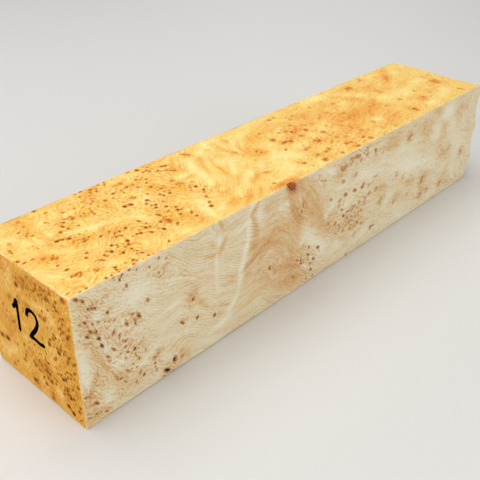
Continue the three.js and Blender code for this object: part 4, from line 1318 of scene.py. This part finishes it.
class Shaping:
    """Geometry Nodes that turn the sharp skin into a sawn, handled and broken block.

    Attributes:
        tree: the node tree.
        identifiers: the identifier of each named input.
    """

    def __init__(self, wood: bpy.types.Material) -> None:
        """Builds the tree.

        Args:
            wood: the material that the tree sets at its end.
        """
        self.tree = bpy.data.node_groups.new("Shape a burl blank", "GeometryNodeTree")
        self.add = partial(add, self.tree)
        self.identifiers: dict[str, str] = {}
        self.tree.interface.new_socket("Geometry", in_out="INPUT", socket_type="NodeSocketGeometry")
        for name, kind, value in (
            ("Centre", "NodeSocketVector", (0.0, 0.0, 0.0)),
            ("Half Size", "NodeSocketVector", (0.1, 0.025, 0.025)),
            ("Arris Radius", "NodeSocketFloat", 0.8 * MM),
            ("Arris Swing", "NodeSocketFloat", 0.8),
            ("Arris Pitch", "NodeSocketFloat", 16 * MM),
            ("Torn Depth", "NodeSocketFloat", 0.9 * MM),
            ("Torn Pitch", "NodeSocketFloat", 2.6 * MM),
            ("Seed", "NodeSocketFloat", 4.0),
        ):
            socket = self.tree.interface.new_socket(name, in_out="INPUT", socket_type=kind)
            socket.default_value = value
            self.identifiers[name] = socket.identifier
        self.tree.interface.new_socket("Geometry", in_out="OUTPUT", socket_type="NodeSocketGeometry")
        self.inputs = self.add("NodeGroupInput").node.outputs
        sunk = self.sink_pits(self.break_end(self.round_arrises(self.inputs["Geometry"])))
        smooth = self.add("GeometryNodeSetShadeSmooth", {"Geometry": sunk})
        real = self.add("GeometryNodeRealizeInstances", {"Geometry": smooth})
        dressed = self.add("GeometryNodeSetMaterial", {"Geometry": real, "Material": wood})
        self.add("NodeGroupOutput", {0: dressed})

    def round_arrises(self, geometry: Socket) -> Socket:
        """Rounds every arris and corner by a radius that wanders along it.

        A point is kept at its radius from an inner block, so flat faces stay where they are.

        Args:
            geometry: the sharp skin.

        Returns:
            The rounded skin.
        """
        given = self.inputs
        place = self.add("GeometryNodeInputPosition")
        finer = self.add("ShaderNodeMath", {0: 1.0, 1: given["Arris Pitch"]}, operation="DIVIDE")
        wander = self.add("ShaderNodeTexNoise", {
            "Vector": place, "W": given["Seed"], "Scale": finer, "Detail": 1.0,
        }, noise_dimensions="4D")
        swung = self.add("ShaderNodeMapRange", {
            "Value": wander, "From Min": 0.25, "From Max": 0.75, "To Min": -1.0, "To Max": 1.0,
        })
        share = self.add("ShaderNodeMath", {0: swung, 1: given["Arris Swing"], 2: 1.0},
                         operation="MULTIPLY_ADD")
        capped = self.add("ShaderNodeMath", {0: share, 1: 0.35}, operation="MAXIMUM")
        radius = self.add("ShaderNodeMath", {0: capped, 1: given["Arris Radius"]}, operation="MULTIPLY")
        offset = self.add("ShaderNodeVectorMath", {0: place, 1: given["Centre"]}, operation="SUBTRACT")
        radii = self.add("ShaderNodeCombineXYZ", {0: radius, 1: radius, 2: radius})
        inner = self.add("ShaderNodeVectorMath", {0: given["Half Size"], 1: radii}, operation="SUBTRACT")
        lowest = self.add("ShaderNodeVectorMath", {0: inner, "Scale": -1.0}, operation="SCALE")
        raised = self.add("ShaderNodeVectorMath", {0: offset, 1: lowest}, operation="MAXIMUM")
        block = self.add("ShaderNodeVectorMath", {0: raised, 1: inner}, operation="MINIMUM")
        out = self.add("ShaderNodeVectorMath", {0: offset, 1: block}, operation="SUBTRACT")
        unit = self.add("ShaderNodeVectorMath", {0: out}, operation="NORMALIZE")
        step = self.add("ShaderNodeVectorMath", {0: unit, "Scale": radius}, operation="SCALE")
        there = self.add("ShaderNodeVectorMath", {0: block, 1: step}, operation="ADD")
        moved = self.add("ShaderNodeVectorMath", {0: there, 1: given["Centre"]}, operation="ADD")
        return self.add("GeometryNodeSetPosition", {"Geometry": geometry, "Position": moved})

    def break_end(self, geometry: Socket) -> Socket:
        """Moves the broken end by its stored relief, and tears its fibres inwards.

        Args:
            geometry: the rounded skin.

        Returns:
            The skin with its broken end.
        """
        relief = self.add("GeometryNodeInputNamedAttribute", {"Name": "rough"}, data_type="FLOAT")
        torn = self.add("GeometryNodeInputNamedAttribute", {"Name": "torn"}, data_type="FLOAT")
        place = self.add("GeometryNodeInputPosition")
        finer = self.add("ShaderNodeMath", {0: 1.0, 1: self.inputs["Torn Pitch"]}, operation="DIVIDE")
        tear = self.add("ShaderNodeTexNoise", {
            "Vector": place, "W": self.inputs["Seed"], "Scale": finer, "Detail": 3.0, "Roughness": 0.65,
        }, noise_dimensions="4D")
        ridged = self.add("ShaderNodeMapRange", {"Value": tear, "From Min": 0.35, "From Max": 0.7})
        deep = self.add("ShaderNodeMath", {0: ridged, 1: self.inputs["Torn Depth"]}, operation="MULTIPLY")
        inward = self.add("ShaderNodeMath", {0: deep, 1: torn}, operation="MULTIPLY")
        shift = self.add("ShaderNodeMath", {0: relief, 1: inward}, operation="SUBTRACT")
        along = self.add("ShaderNodeCombineXYZ", {0: shift})
        return self.add("GeometryNodeSetPosition", {"Geometry": geometry, "Offset": along})

    def sink_pits(self, geometry: Socket) -> Socket:
        """Sinks the eyes' cores and the fallen-out voids into the face.

        Args:
            geometry: the skin.

        Returns:
            The skin with its pits.
        """
        depth = self.add("GeometryNodeInputNamedAttribute", {"Name": "pit"}, data_type="FLOAT")
        below = self.add("ShaderNodeMath", {0: depth, 1: -1.0}, operation="MULTIPLY")
        normal = self.add("GeometryNodeInputNormal")
        inward = self.add("ShaderNodeVectorMath", {0: normal, "Scale": below}, operation="SCALE")
        return self.add("GeometryNodeSetPosition", {"Geometry": geometry, "Offset": inward})


@dataclass(frozen=True)
class PlanedBurlWood:
    """Bare burl wood, planed and finely sanded: satin, with a play of pale and deep grain whose pale
    streaks partly paint a silky sheen.

    The hex colours are those of the dry wood, with painted light added where they differ by face.
    Those of the wood run from pale to deep. Where there are three of a kind, they are for the pale
    side, the golden top and the amber end: the side's and the top's differ by painted light, cooler
    on the side and warm on the top, and the end's is end grain with some painted shade. Lengths are
    in millimetres.
    """

    name: str = "planed bare burl wood"
    # The three wood ramps by face: the pale side's and the golden top's paint cool and warm light, the
    # amber end's is end grain with some painted shade
    wood: tuple[tuple[str, ...], ...] = (
        ("#e9e2ca", "#dfd0ad", "#d5b07c", "#bf844c"),
        ("#f8e79b", "#f3cf75", "#eeae4b", "#dc872e"),
        ("#f0cb7d", "#e0a640", "#cd8d29", "#a66316"),
    )
    wood_stops: tuple[float, ...] = (0.0, 0.35, 0.65, 1.0)
    ring: tuple[str, ...] = ("#c0935f", "#dc8d35", "#bd6f0c")
    heart: tuple[str, ...] = ("#a5622d", "#b9680c", "#7c3d00")
    dark_heart: tuple[str, ...] = ("#5e2c19", "#85410a", "#461c00")
    # painted shade: the near-black of the shade inside a hole where the wood has fallen out
    void: str = "#1e1512"
    knot_coat: tuple[str, ...] = ("#b98350", "#dd8f30", "#b8741f")
    knot_wood: tuple[tuple[float, str], ...] = (
        (0.0, "#5a2e28"), (0.14, "#86391a"), (0.4, "#9c4a22"), (0.8, "#a8562c"),
    )
    knot_fleck: str = "#d8a68c"
    # pale arris colour: real wear with a painted highlight where the arrises catch the light
    wear_and_highlight: str = "#f1dcb0"
    ink: str = "#0c0908"
    line_pitch: float = 0.85
    line_wander: float = 0.7
    curl_pitch: float = 1.6  # the curls where eyes crowd are coarser and wilder
    curl_wander: float = 6.0
    end_lean: float = -30.0  # turns the end grain's direction, 60 degrees from level, upright

    def material(self) -> bpy.types.Material:
        """Builds the material from these colours and lengths."""
        return WoodNodes(self).material


class WoodNodes:
    """The nodes of the wood's material, which work from what the skin carries.

    Attributes:
        finish: the finish that they draw.
        material: the material.
        read: the socket of each value that the skin carries.
        place: the place in the blank's frame, in millimetres.
    """

    def __init__(self, finish: PlanedBurlWood) -> None:
        """Builds the material.

        Args:
            finish: the finish to draw.
        """
        self.finish = finish
        self.material = bpy.data.materials.new(finish.name)
        self.material.use_nodes = True
        self.material.node_tree.nodes.clear()
        self.read = {name: self.add("Attribute", attribute_name=name).node.outputs["Fac"]
                     for name in ("growth", "eye", "dark", "stain", "crowd", "lines", "golden", "amber",
                                  "edge", "ink", "knot", "torn")}
        objects = self.add("TexCoord").node.outputs["Object"]
        self.place = self.add("VectorMath", {0: objects, "Scale": 1 / MM}, operation="SCALE")
        growth = self.wandering_growth(0.6, finish.line_wander)
        line = self.growth_line(growth, finish.line_pitch)
        curl = self.growth_line(self.wandering_growth(0.4, finish.curl_wander), finish.curl_pitch)
        runs = self.streaks(growth)
        figured = self.with_eyes(self.plain_colour(self.tone(line, curl, runs)))
        colour, inked = self.with_ink(self.with_wear_and_highlight(self.with_knot(figured)))
        height = self.add("Math", {0: runs[2], 1: 0.6, 2: line}, operation="MULTIPLY_ADD")
        deep = self.add("MapRange", {
            "Value": self.read["torn"], "To Min": 0.005 * MM, "To Max": 0.5 * MM,
        })
        bump = self.add("Bump", {"Strength": 1.0, "Distance": deep, "Height": height})
        rough = self.add("MapRange", {
            "Value": runs[2], "From Min": 0.3, "From Max": 0.7, "To Min": 0.5, "To Max": 0.62,
        })
        gloss = self.add("Mix", {0: inked, 2: rough, 3: 0.8}, data_type="FLOAT")
        sheen = self.add("Mix", {0: inked, 2: 0.09, 3: 0.0}, data_type="FLOAT")
        skin = self.add("BsdfPrincipled", {
            "Base Color": colour, "Roughness": gloss, "Normal": bump, "Specular IOR Level": sheen,
            "IOR": 1.5,
        })
        self.add("OutputMaterial", {"Surface": skin})

    def add(self, kind: str, inputs: dict | None = None, **settings: object) -> Socket | None:
        """Adds a shader node, whose kind is given without its prefix."""
        return add(self.material.node_tree, "ShaderNode" + kind, inputs, **settings)

    def wandering_growth(self, scale: float, reach: float) -> Socket:
        """Adds the wander that growth surfaces have between the skin's points.

        Args:
            scale: bends in a millimetre.
            reach: how far the surfaces wander, in millimetres.

        Returns:
            The height of the growth surfaces.
        """
        wander = self.add("TexNoise", {"Vector": self.place, "Scale": scale, "Detail": 3.0})
        return self.add("Math", {0: wander, 1: reach, 2: self.read["growth"]}, operation="MULTIPLY_ADD")

    def growth_line(self, growth: Socket, pitch: float) -> Socket:
        """Draws one thin line at each step of the growth surfaces.

        Args:
            growth: height of the growth surfaces.
            pitch: the height of a step.

        Returns:
            1 on the line and 0 between the lines.
        """
        steps = self.add("Math", {0: growth, 1: pitch}, operation="DIVIDE")
        saw = self.add("Math", {0: steps, 1: 0.5}, operation="PINGPONG")
        return self.add("MapRange", {"Value": saw, "From Min": 0.12, "From Max": 0.46},
                        interpolation_type="SMOOTHSTEP")

    def streaks(self, growth: Socket) -> list[Socket]:
        """Draws broad bands, streaks and fibres along the growth surfaces.

        On the ends, where the fibres are cut across, fine short ones that lean take their place.

        Args:
            growth: height of the growth surfaces.

        Returns:
            The bands, the streaks and the fibres, each about 0.5 in the mean.
        """
        drawn = []
        for across, along, detail in ((0.3, 0.06, 3.0), (1.0, 0.12, 3.0), (2.8, 0.3, 2.0)):
            slow = self.add("VectorMath", {0: self.place, "Scale": along}, operation="SCALE")
            level = self.add("Math", {0: growth, 1: across}, operation="MULTIPLY")
            drawn.append(self.add("TexNoise", {
                "Vector": slow, "W": level, "Scale": 1.0, "Detail": detail, "Roughness": 0.6,
            }, noise_dimensions="4D"))
        upright = self.add("VectorRotate", {
            "Vector": self.place, "Angle": math.radians(self.finish.end_lean),
        }, rotation_type="X_AXIS")
        long = self.add("VectorMath", {0: upright, 1: (0.5, 2.3, 0.2)}, operation="MULTIPLY")
        short = self.add("TexNoise", {"Vector": long, "Scale": 1.0, "Detail": 3.0, "Roughness": 0.65})
        drawn[2] = self.add("Mix", {0: self.read["amber"], 2: drawn[2], 3: short}, data_type="FLOAT")
        return drawn

    def tone(self, line: Socket, curl: Socket, runs: list[Socket]) -> Socket:
        """Weighs stains, figure, fringes round the eyes and lines into a depth of colour. The bands and
        streaks of the figure are partly the wood's own colour and partly a painted silky sheen.

        Args:
            line: the growth lines.
            curl: the curls' lines.
            runs: the bands, the streaks and the fibres.

        Returns:
            The depth of colour, from 0 to 1.
        """
        read = self.read
        cloud = self.add("TexNoise", {
            "Vector": self.place, "Scale": 0.6, "Detail": 4.0, "Roughness": 0.68, "Distortion": 1.4,
        })
        tone, loose, fine, crowded = [
            self.add("Math", {0: read[name], 1: rise, 2: start}, operation="MULTIPLY_ADD")
            for name, rise, start in (
                ("stain", 0.42, 0.36), ("lines", -0.7, 1.0), ("amber", 1.4, 1.0), ("crowd", 0.95, 0.28))
        ]
        patchy = self.add("MapRange", {
            "Value": cloud, "From Min": 0.36, "From Max": 0.64, "To Min": 0.4, "To Max": 1.5,
        })
        wild = self.add("Math", {0: crowded, 1: patchy}, operation="MULTIPLY")
        # bands and streaks: partly the wood's own colour, partly a painted silky sheen
        for run, weight, share in ((runs[0], 0.09, 1.0), (runs[1], 0.085, 1.0), (runs[2], 0.08, fine),
                                   (cloud, 0.13, loose), (curl, 0.11, wild)):
            swing = self.add("MapRange", {
                "Value": run, "From Min": 0.32, "From Max": 0.68, "To Min": -weight, "To Max": weight,
            })
            tone = self.add("Math", {0: swing, 1: share, 2: tone}, operation="MULTIPLY_ADD")
        inner = self.add("Math", {0: 0.4, 1: read["eye"]}, operation="SUBTRACT")
        fringe = self.add("Math", {0: inner, 1: read["eye"]}, operation="MULTIPLY", use_clamp=True)
        fringed = self.add("Math", {0: fringe, 1: read["dark"]}, operation="MULTIPLY")
        centred = self.add("Math", {0: line, 1: 0.4}, operation="SUBTRACT")
        lined = self.add("Math", {0: centred, 1: read["lines"]}, operation="MULTIPLY")
        for change, weight, last in ((fringed, -4.5, False), (read["torn"], -0.1, False),
                                     (lined, 0.23, True)):
            tone = self.add("Math", {0: change, 1: weight, 2: tone},
                            operation="MULTIPLY_ADD", use_clamp=last)
        return tone

    def by_face(self, looks: list) -> Socket:
        """Picks the look of the pale side, the golden top or the amber end, and blends between them.
        The pale and golden looks paint cooler light on the side and warm light on the top, and the
        amber look is end grain with some painted shade.

        Args:
            looks: the three colours or colour sockets, in that order.

        Returns:
            The colour.
        """
        pale, golden, amber = looks
        # painted light: cooler on the pale side, warm on the golden top; the amber end adds some painted
        # shade
        long_faces = self.add("Mix", {0: self.read["golden"], 6: pale, 7: golden}, data_type="RGBA")
        return self.add("Mix", {0: self.read["amber"], 6: long_faces, 7: amber}, data_type="RGBA")

    def plain_colour(self, tone: Socket) -> Socket:
        """Turns the tone into the wood's colours, some patches a little pinker and some yellower.

        Args:
            tone: the depth of colour.

        Returns:
            The colour.
        """
        even = self.by_face([
            self.add("ValToRGB", {"Fac": tone}, stops=list(zip(self.finish.wood_stops, colours)))
            for colours in self.finish.wood
        ])
        patch = self.add("TexNoise", {
            "Vector": self.place, "Scale": 0.22, "Detail": 4.0, "Roughness": 0.6, "Distortion": 1.2,
        })
        hue = self.add("MapRange", {
            "Value": patch, "From Min": 0.32, "From Max": 0.68, "To Min": 0.489, "To Max": 0.511,
        })
        return self.add("HueSaturation", {"Hue": hue, "Color": even})

    def shaken(self, value: str, scale: float, swing: float) -> Socket:
        """Makes the rim of what the skin carries ragged.

        Args:
            value: the name of what is shaken.
            scale: bends of the rim in a millimetre.
            swing: how far the value swings each way.

        Returns:
            The shaken value.
        """
        ragged = self.add("TexNoise", {
            "Vector": self.place, "Scale": scale, "Detail": 2.0 if value == "eye" else 3.0,
        })
        shift = self.add("MapRange", {
            "Value": ragged, "From Min": 0.3, "From Max": 0.7, "To Min": -swing, "To Max": swing,
        })
        return self.add("Math", {0: self.read[value], 1: shift}, operation="ADD")

    def with_eyes(self, plain: Socket) -> Socket:
        """Draws each eye: a stained ring that fades outwards, and a darker heart, or a void whose hole is
        painted near-black as shade.

        Args:
            plain: the wood's colour without eyes.

        Returns:
            The colour.
        """
        near, dark = self.shaken("eye", 1.7, 0.13), self.read["dark"]
        finish = self.finish
        ring, heart, dark_heart = [self.by_face([linear(colour) for colour in colours])
                                   for colours in (finish.ring, finish.heart, finish.dark_heart)]
        # the deepest darkness turns the heart to the void's painted shade
        for deeper, start, end in ((dark_heart, 0.8, 1.05), (linear(finish.void), 1.1, 1.4)):
            amount = self.add("MapRange", {"Value": dark, "From Min": start, "From Max": end})
            heart = self.add("Mix", {0: amount, 6: heart, 7: deeper}, data_type="RGBA")
        for tint, start, end, faint, most in ((ring, 0.12, 0.64, 0.0, 0.8), (heart, 0.5, 0.74, 0.3, 1.0)):
            reach = self.add("MapRange", {"Value": near, "From Min": start, "From Max": end},
                             interpolation_type="SMOOTHSTEP")
            strength = self.add("MapRange", {
                "Value": dark, "From Min": faint, "From Max": 0.95, "To Max": most,
            })
            amount = self.add("Math", {0: reach, 1: strength}, operation="MULTIPLY")
            plain = self.add("Mix", {0: amount, 6: plain, 7: tint}, data_type="RGBA")
        return plain

    def with_knot(self, figured: Socket) -> Socket:
        """Draws the knot: an orange coat round flecked red-brown wood that darkens to its rim.

        Args:
            figured: the wood's colour without the knot.

        Returns:
            The colour.
        """
        near = self.shaken("knot", 1.1, 0.22)
        coat = self.add("MapRange", {
            "Value": near, "From Min": -0.9, "From Max": -0.1, "To Max": 0.8,
        }, interpolation_type="SMOOTHSTEP")
        tint = self.by_face([linear(colour) for colour in self.finish.knot_coat])
        coated = self.add("Mix", {0: coat, 6: figured, 7: tint}, data_type="RGBA")
        along = self.add("VectorRotate", {
            "Vector": self.place, "Angle": math.radians(Knot.lean),
        }, rotation_type="Y_AXIS")
        long = self.add("VectorMath", {0: along, 1: (0.35, 1.6, 1.6)}, operation="MULTIPLY")
        fleck = self.add("TexNoise", {"Vector": long, "Scale": 1.0, "Detail": 2.0})
        flecked = self.add("MapRange", {
            "Value": fleck, "From Min": 0.54, "From Max": 0.64, "To Max": 0.75,
        })
        red = self.add("ValToRGB", {"Fac": near}, stops=self.finish.knot_wood)
        mottled = self.add("Mix", {0: flecked, 6: red, 7: linear(self.finish.knot_fleck)}, data_type="RGBA")
        inside = self.add("MapRange", {"Value": near, "From Min": -0.05, "From Max": 0.1},
                          interpolation_type="SMOOTHSTEP")
        return self.add("Mix", {0: inside, 6: coated, 7: mottled}, data_type="RGBA")

    def with_wear_and_highlight(self, figured: Socket) -> Socket:
        """Pales the arrises where handling has rubbed them and where they catch the light: real wear with a
        painted highlight.

        Args:
            figured: the unworn colour.

        Returns:
            The colour.
        """
        patchy = self.add("TexNoise", {"Vector": self.place, "Scale": 0.3, "Detail": 3.0})
        wear_and_highlight = self.add("MapRange", {"Value": patchy, "From Min": 0.4, "From Max": 0.6, "To Max": 0.75})
        near = self.add("MapRange", {
            "Value": self.read["edge"], "From Min": 0.55, "From Max": 0.1,
        }, interpolation_type="SMOOTHSTEP")
        amount = self.add("Math", {0: near, 1: wear_and_highlight}, operation="MULTIPLY")
        # mixes in the pale arris colour: real wear with a painted highlight
        return self.add("Mix", {0: amount, 6: figured, 7: linear(self.finish.wear_and_highlight)}, data_type="RGBA")

    def with_ink(self, worn_and_highlit: Socket) -> tuple[Socket, Socket]:
        """Draws the pen number, whose edges bleed a little into the fibres.

        Args:
            worn_and_highlit: the wood's colour, with its worn arrises and their painted highlight.

        Returns:
            The final colour, and where there is ink.
        """
        bleed = self.add("TexNoise", {"Vector": self.place, "Scale": 1.6, "Detail": 3.0})
        shaken = self.add("Math", {0: bleed, 1: 0.3, 2: self.read["ink"]}, operation="MULTIPLY_ADD")
        inked = self.add("MapRange", {"Value": shaken, "From Min": 0.08, "From Max": 0.24},
                         interpolation_type="SMOOTHSTEP")
        colour = self.add("Mix", {0: inked, 6: worn_and_highlit, 7: linear(self.finish.ink)}, data_type="RGBA")
        return colour, inked


@dataclass(frozen=True)
class Studio:
    """A plain pale floor, soft white light and the camera of the photograph.

    Attributes:
        eye: the camera's place, in millimetres.
        aim: a point on the blank's middle plane that the camera looks at.
        roll: how far the camera's right side is turned up, in degrees.
        lens: focal length for a sensor of that width.
        sensor: width of the sensor.
        floor_size: side of the square floor, in metres.
        drop: how far the floor lies under the blank, in millimetres.
    """

    eye: tuple[float, float, float] = (-207.0, -167.17, 167.9)
    aim: tuple[float, float, float] = (-37.57, -10.65, 25.4)
    roll: float = 0.394
    lens: float = 53.07
    sensor: float = 36.0
    floor_size: float = 6.0
    drop: float = 0.05

    def facing(self, place: Vector, aim: Vector) -> Euler:
        """The turn of a camera or a light at that place that points at the aim."""
        return (aim - place).to_track_quat("-Z", "Y").to_euler()

    def camera(self) -> None:
        """Sets up the camera."""
        data = bpy.data.cameras.new("camera")
        data.lens = self.lens
        data.sensor_width = self.sensor
        data.clip_start = 0.01
        camera = bpy.data.objects.new("camera", data)
        camera.location = Vector(self.eye) * MM
        look = self.facing(Vector(self.eye), Vector(self.aim)).to_matrix()
        camera.rotation_euler = (look @ Euler((0, 0, math.radians(self.roll))).to_matrix()).to_euler()
        bpy.context.scene.collection.objects.link(camera)
        bpy.context.scene.camera = camera

    def floor(self) -> None:
        """Lays the floor just under the blank."""
        half = self.floor_size / 2
        corners_round = ((-half, -half), (half, -half), (half, half), (-half, half))
        mesh = bpy.data.meshes.new("floor")
        mesh.from_pydata([(x, y, -self.drop * MM) for x, y in corners_round], [], [(0, 1, 2, 3)])
        floor = bpy.data.objects.new("floor", mesh)
        pale = bpy.data.materials.new("matt pale paint")
        pale.use_nodes = True
        skin = pale.node_tree.nodes["Principled BSDF"]
        skin.inputs["Base Color"].default_value = linear("#dcdad6")
        skin.inputs["Roughness"].default_value = 0.7
        mesh.materials.append(pale)
        bpy.context.scene.collection.objects.link(floor)
        floor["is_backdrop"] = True

    def lights(self) -> None:
        """Hangs four softboxes round the blank, the brightest above it, and lights the room dimly."""
        for name, place, size, power in (
            ("softbox above", (-0.15, 0.25, 0.9), 0.8, 5.5),
            ("softbox in front", (0.05, -0.95, 0.45), 0.7, 4.3),
            ("softbox at the sawn end", (-0.95, 0.0, 0.4), 0.6, 3.4),
            ("softbox at the rough end", (0.85, 0.6, 0.25), 0.5, 1.2),
        ):
            data = bpy.data.lights.new(name, "AREA")
            data.size = size
            data.energy = power
            light = bpy.data.objects.new(name, data)
            light.location = place
            light.rotation_euler = self.facing(Vector(place), Vector((0, 0, 0.02)))
            bpy.context.scene.collection.objects.link(light)
        world = bpy.data.worlds.new("room")
        world.use_nodes = True
        background = world.node_tree.nodes["Background"]
        background.inputs["Color"].default_value = linear("#f2f2f2")
        background.inputs["Strength"].default_value = 0.35
        bpy.context.scene.world = world
        bpy.context.scene.view_settings.view_transform = "Standard"


def plain(box: tuple[Vector, Vector]) -> list[list[float]]:
    """A box's two corners as plain lists of numbers."""
    return [[float(c) for c in corner] for corner in box]


def main() -> None:
    """Builds the blank, dresses it and sets the studio round it."""
    logging.basicConfig(level=logging.INFO, format="%(name)s: %(message)s")
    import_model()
    cad_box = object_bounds()
    low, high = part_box(NODE)
    inset = Vector((1, 1, 1)) * 0.001 * MM  # keeps the skin inside the box when its numbers are rounded
    blank = BurlBlank(low + inset, high - inset)
    wood = PlanedBurlWood().material()
    piece = blank.dress(blank.skin(), wood)
    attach(piece, "root")
    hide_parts(NODE)
    LOG.info("%s: %d faces", piece.name, len(piece.data.polygons))
    studio = Studio()
    studio.floor()
    studio.lights()
    studio.camera()
    {"cad": plain(cad_box), "visual": plain(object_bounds())}


if __name__ == "__main__":
    main()
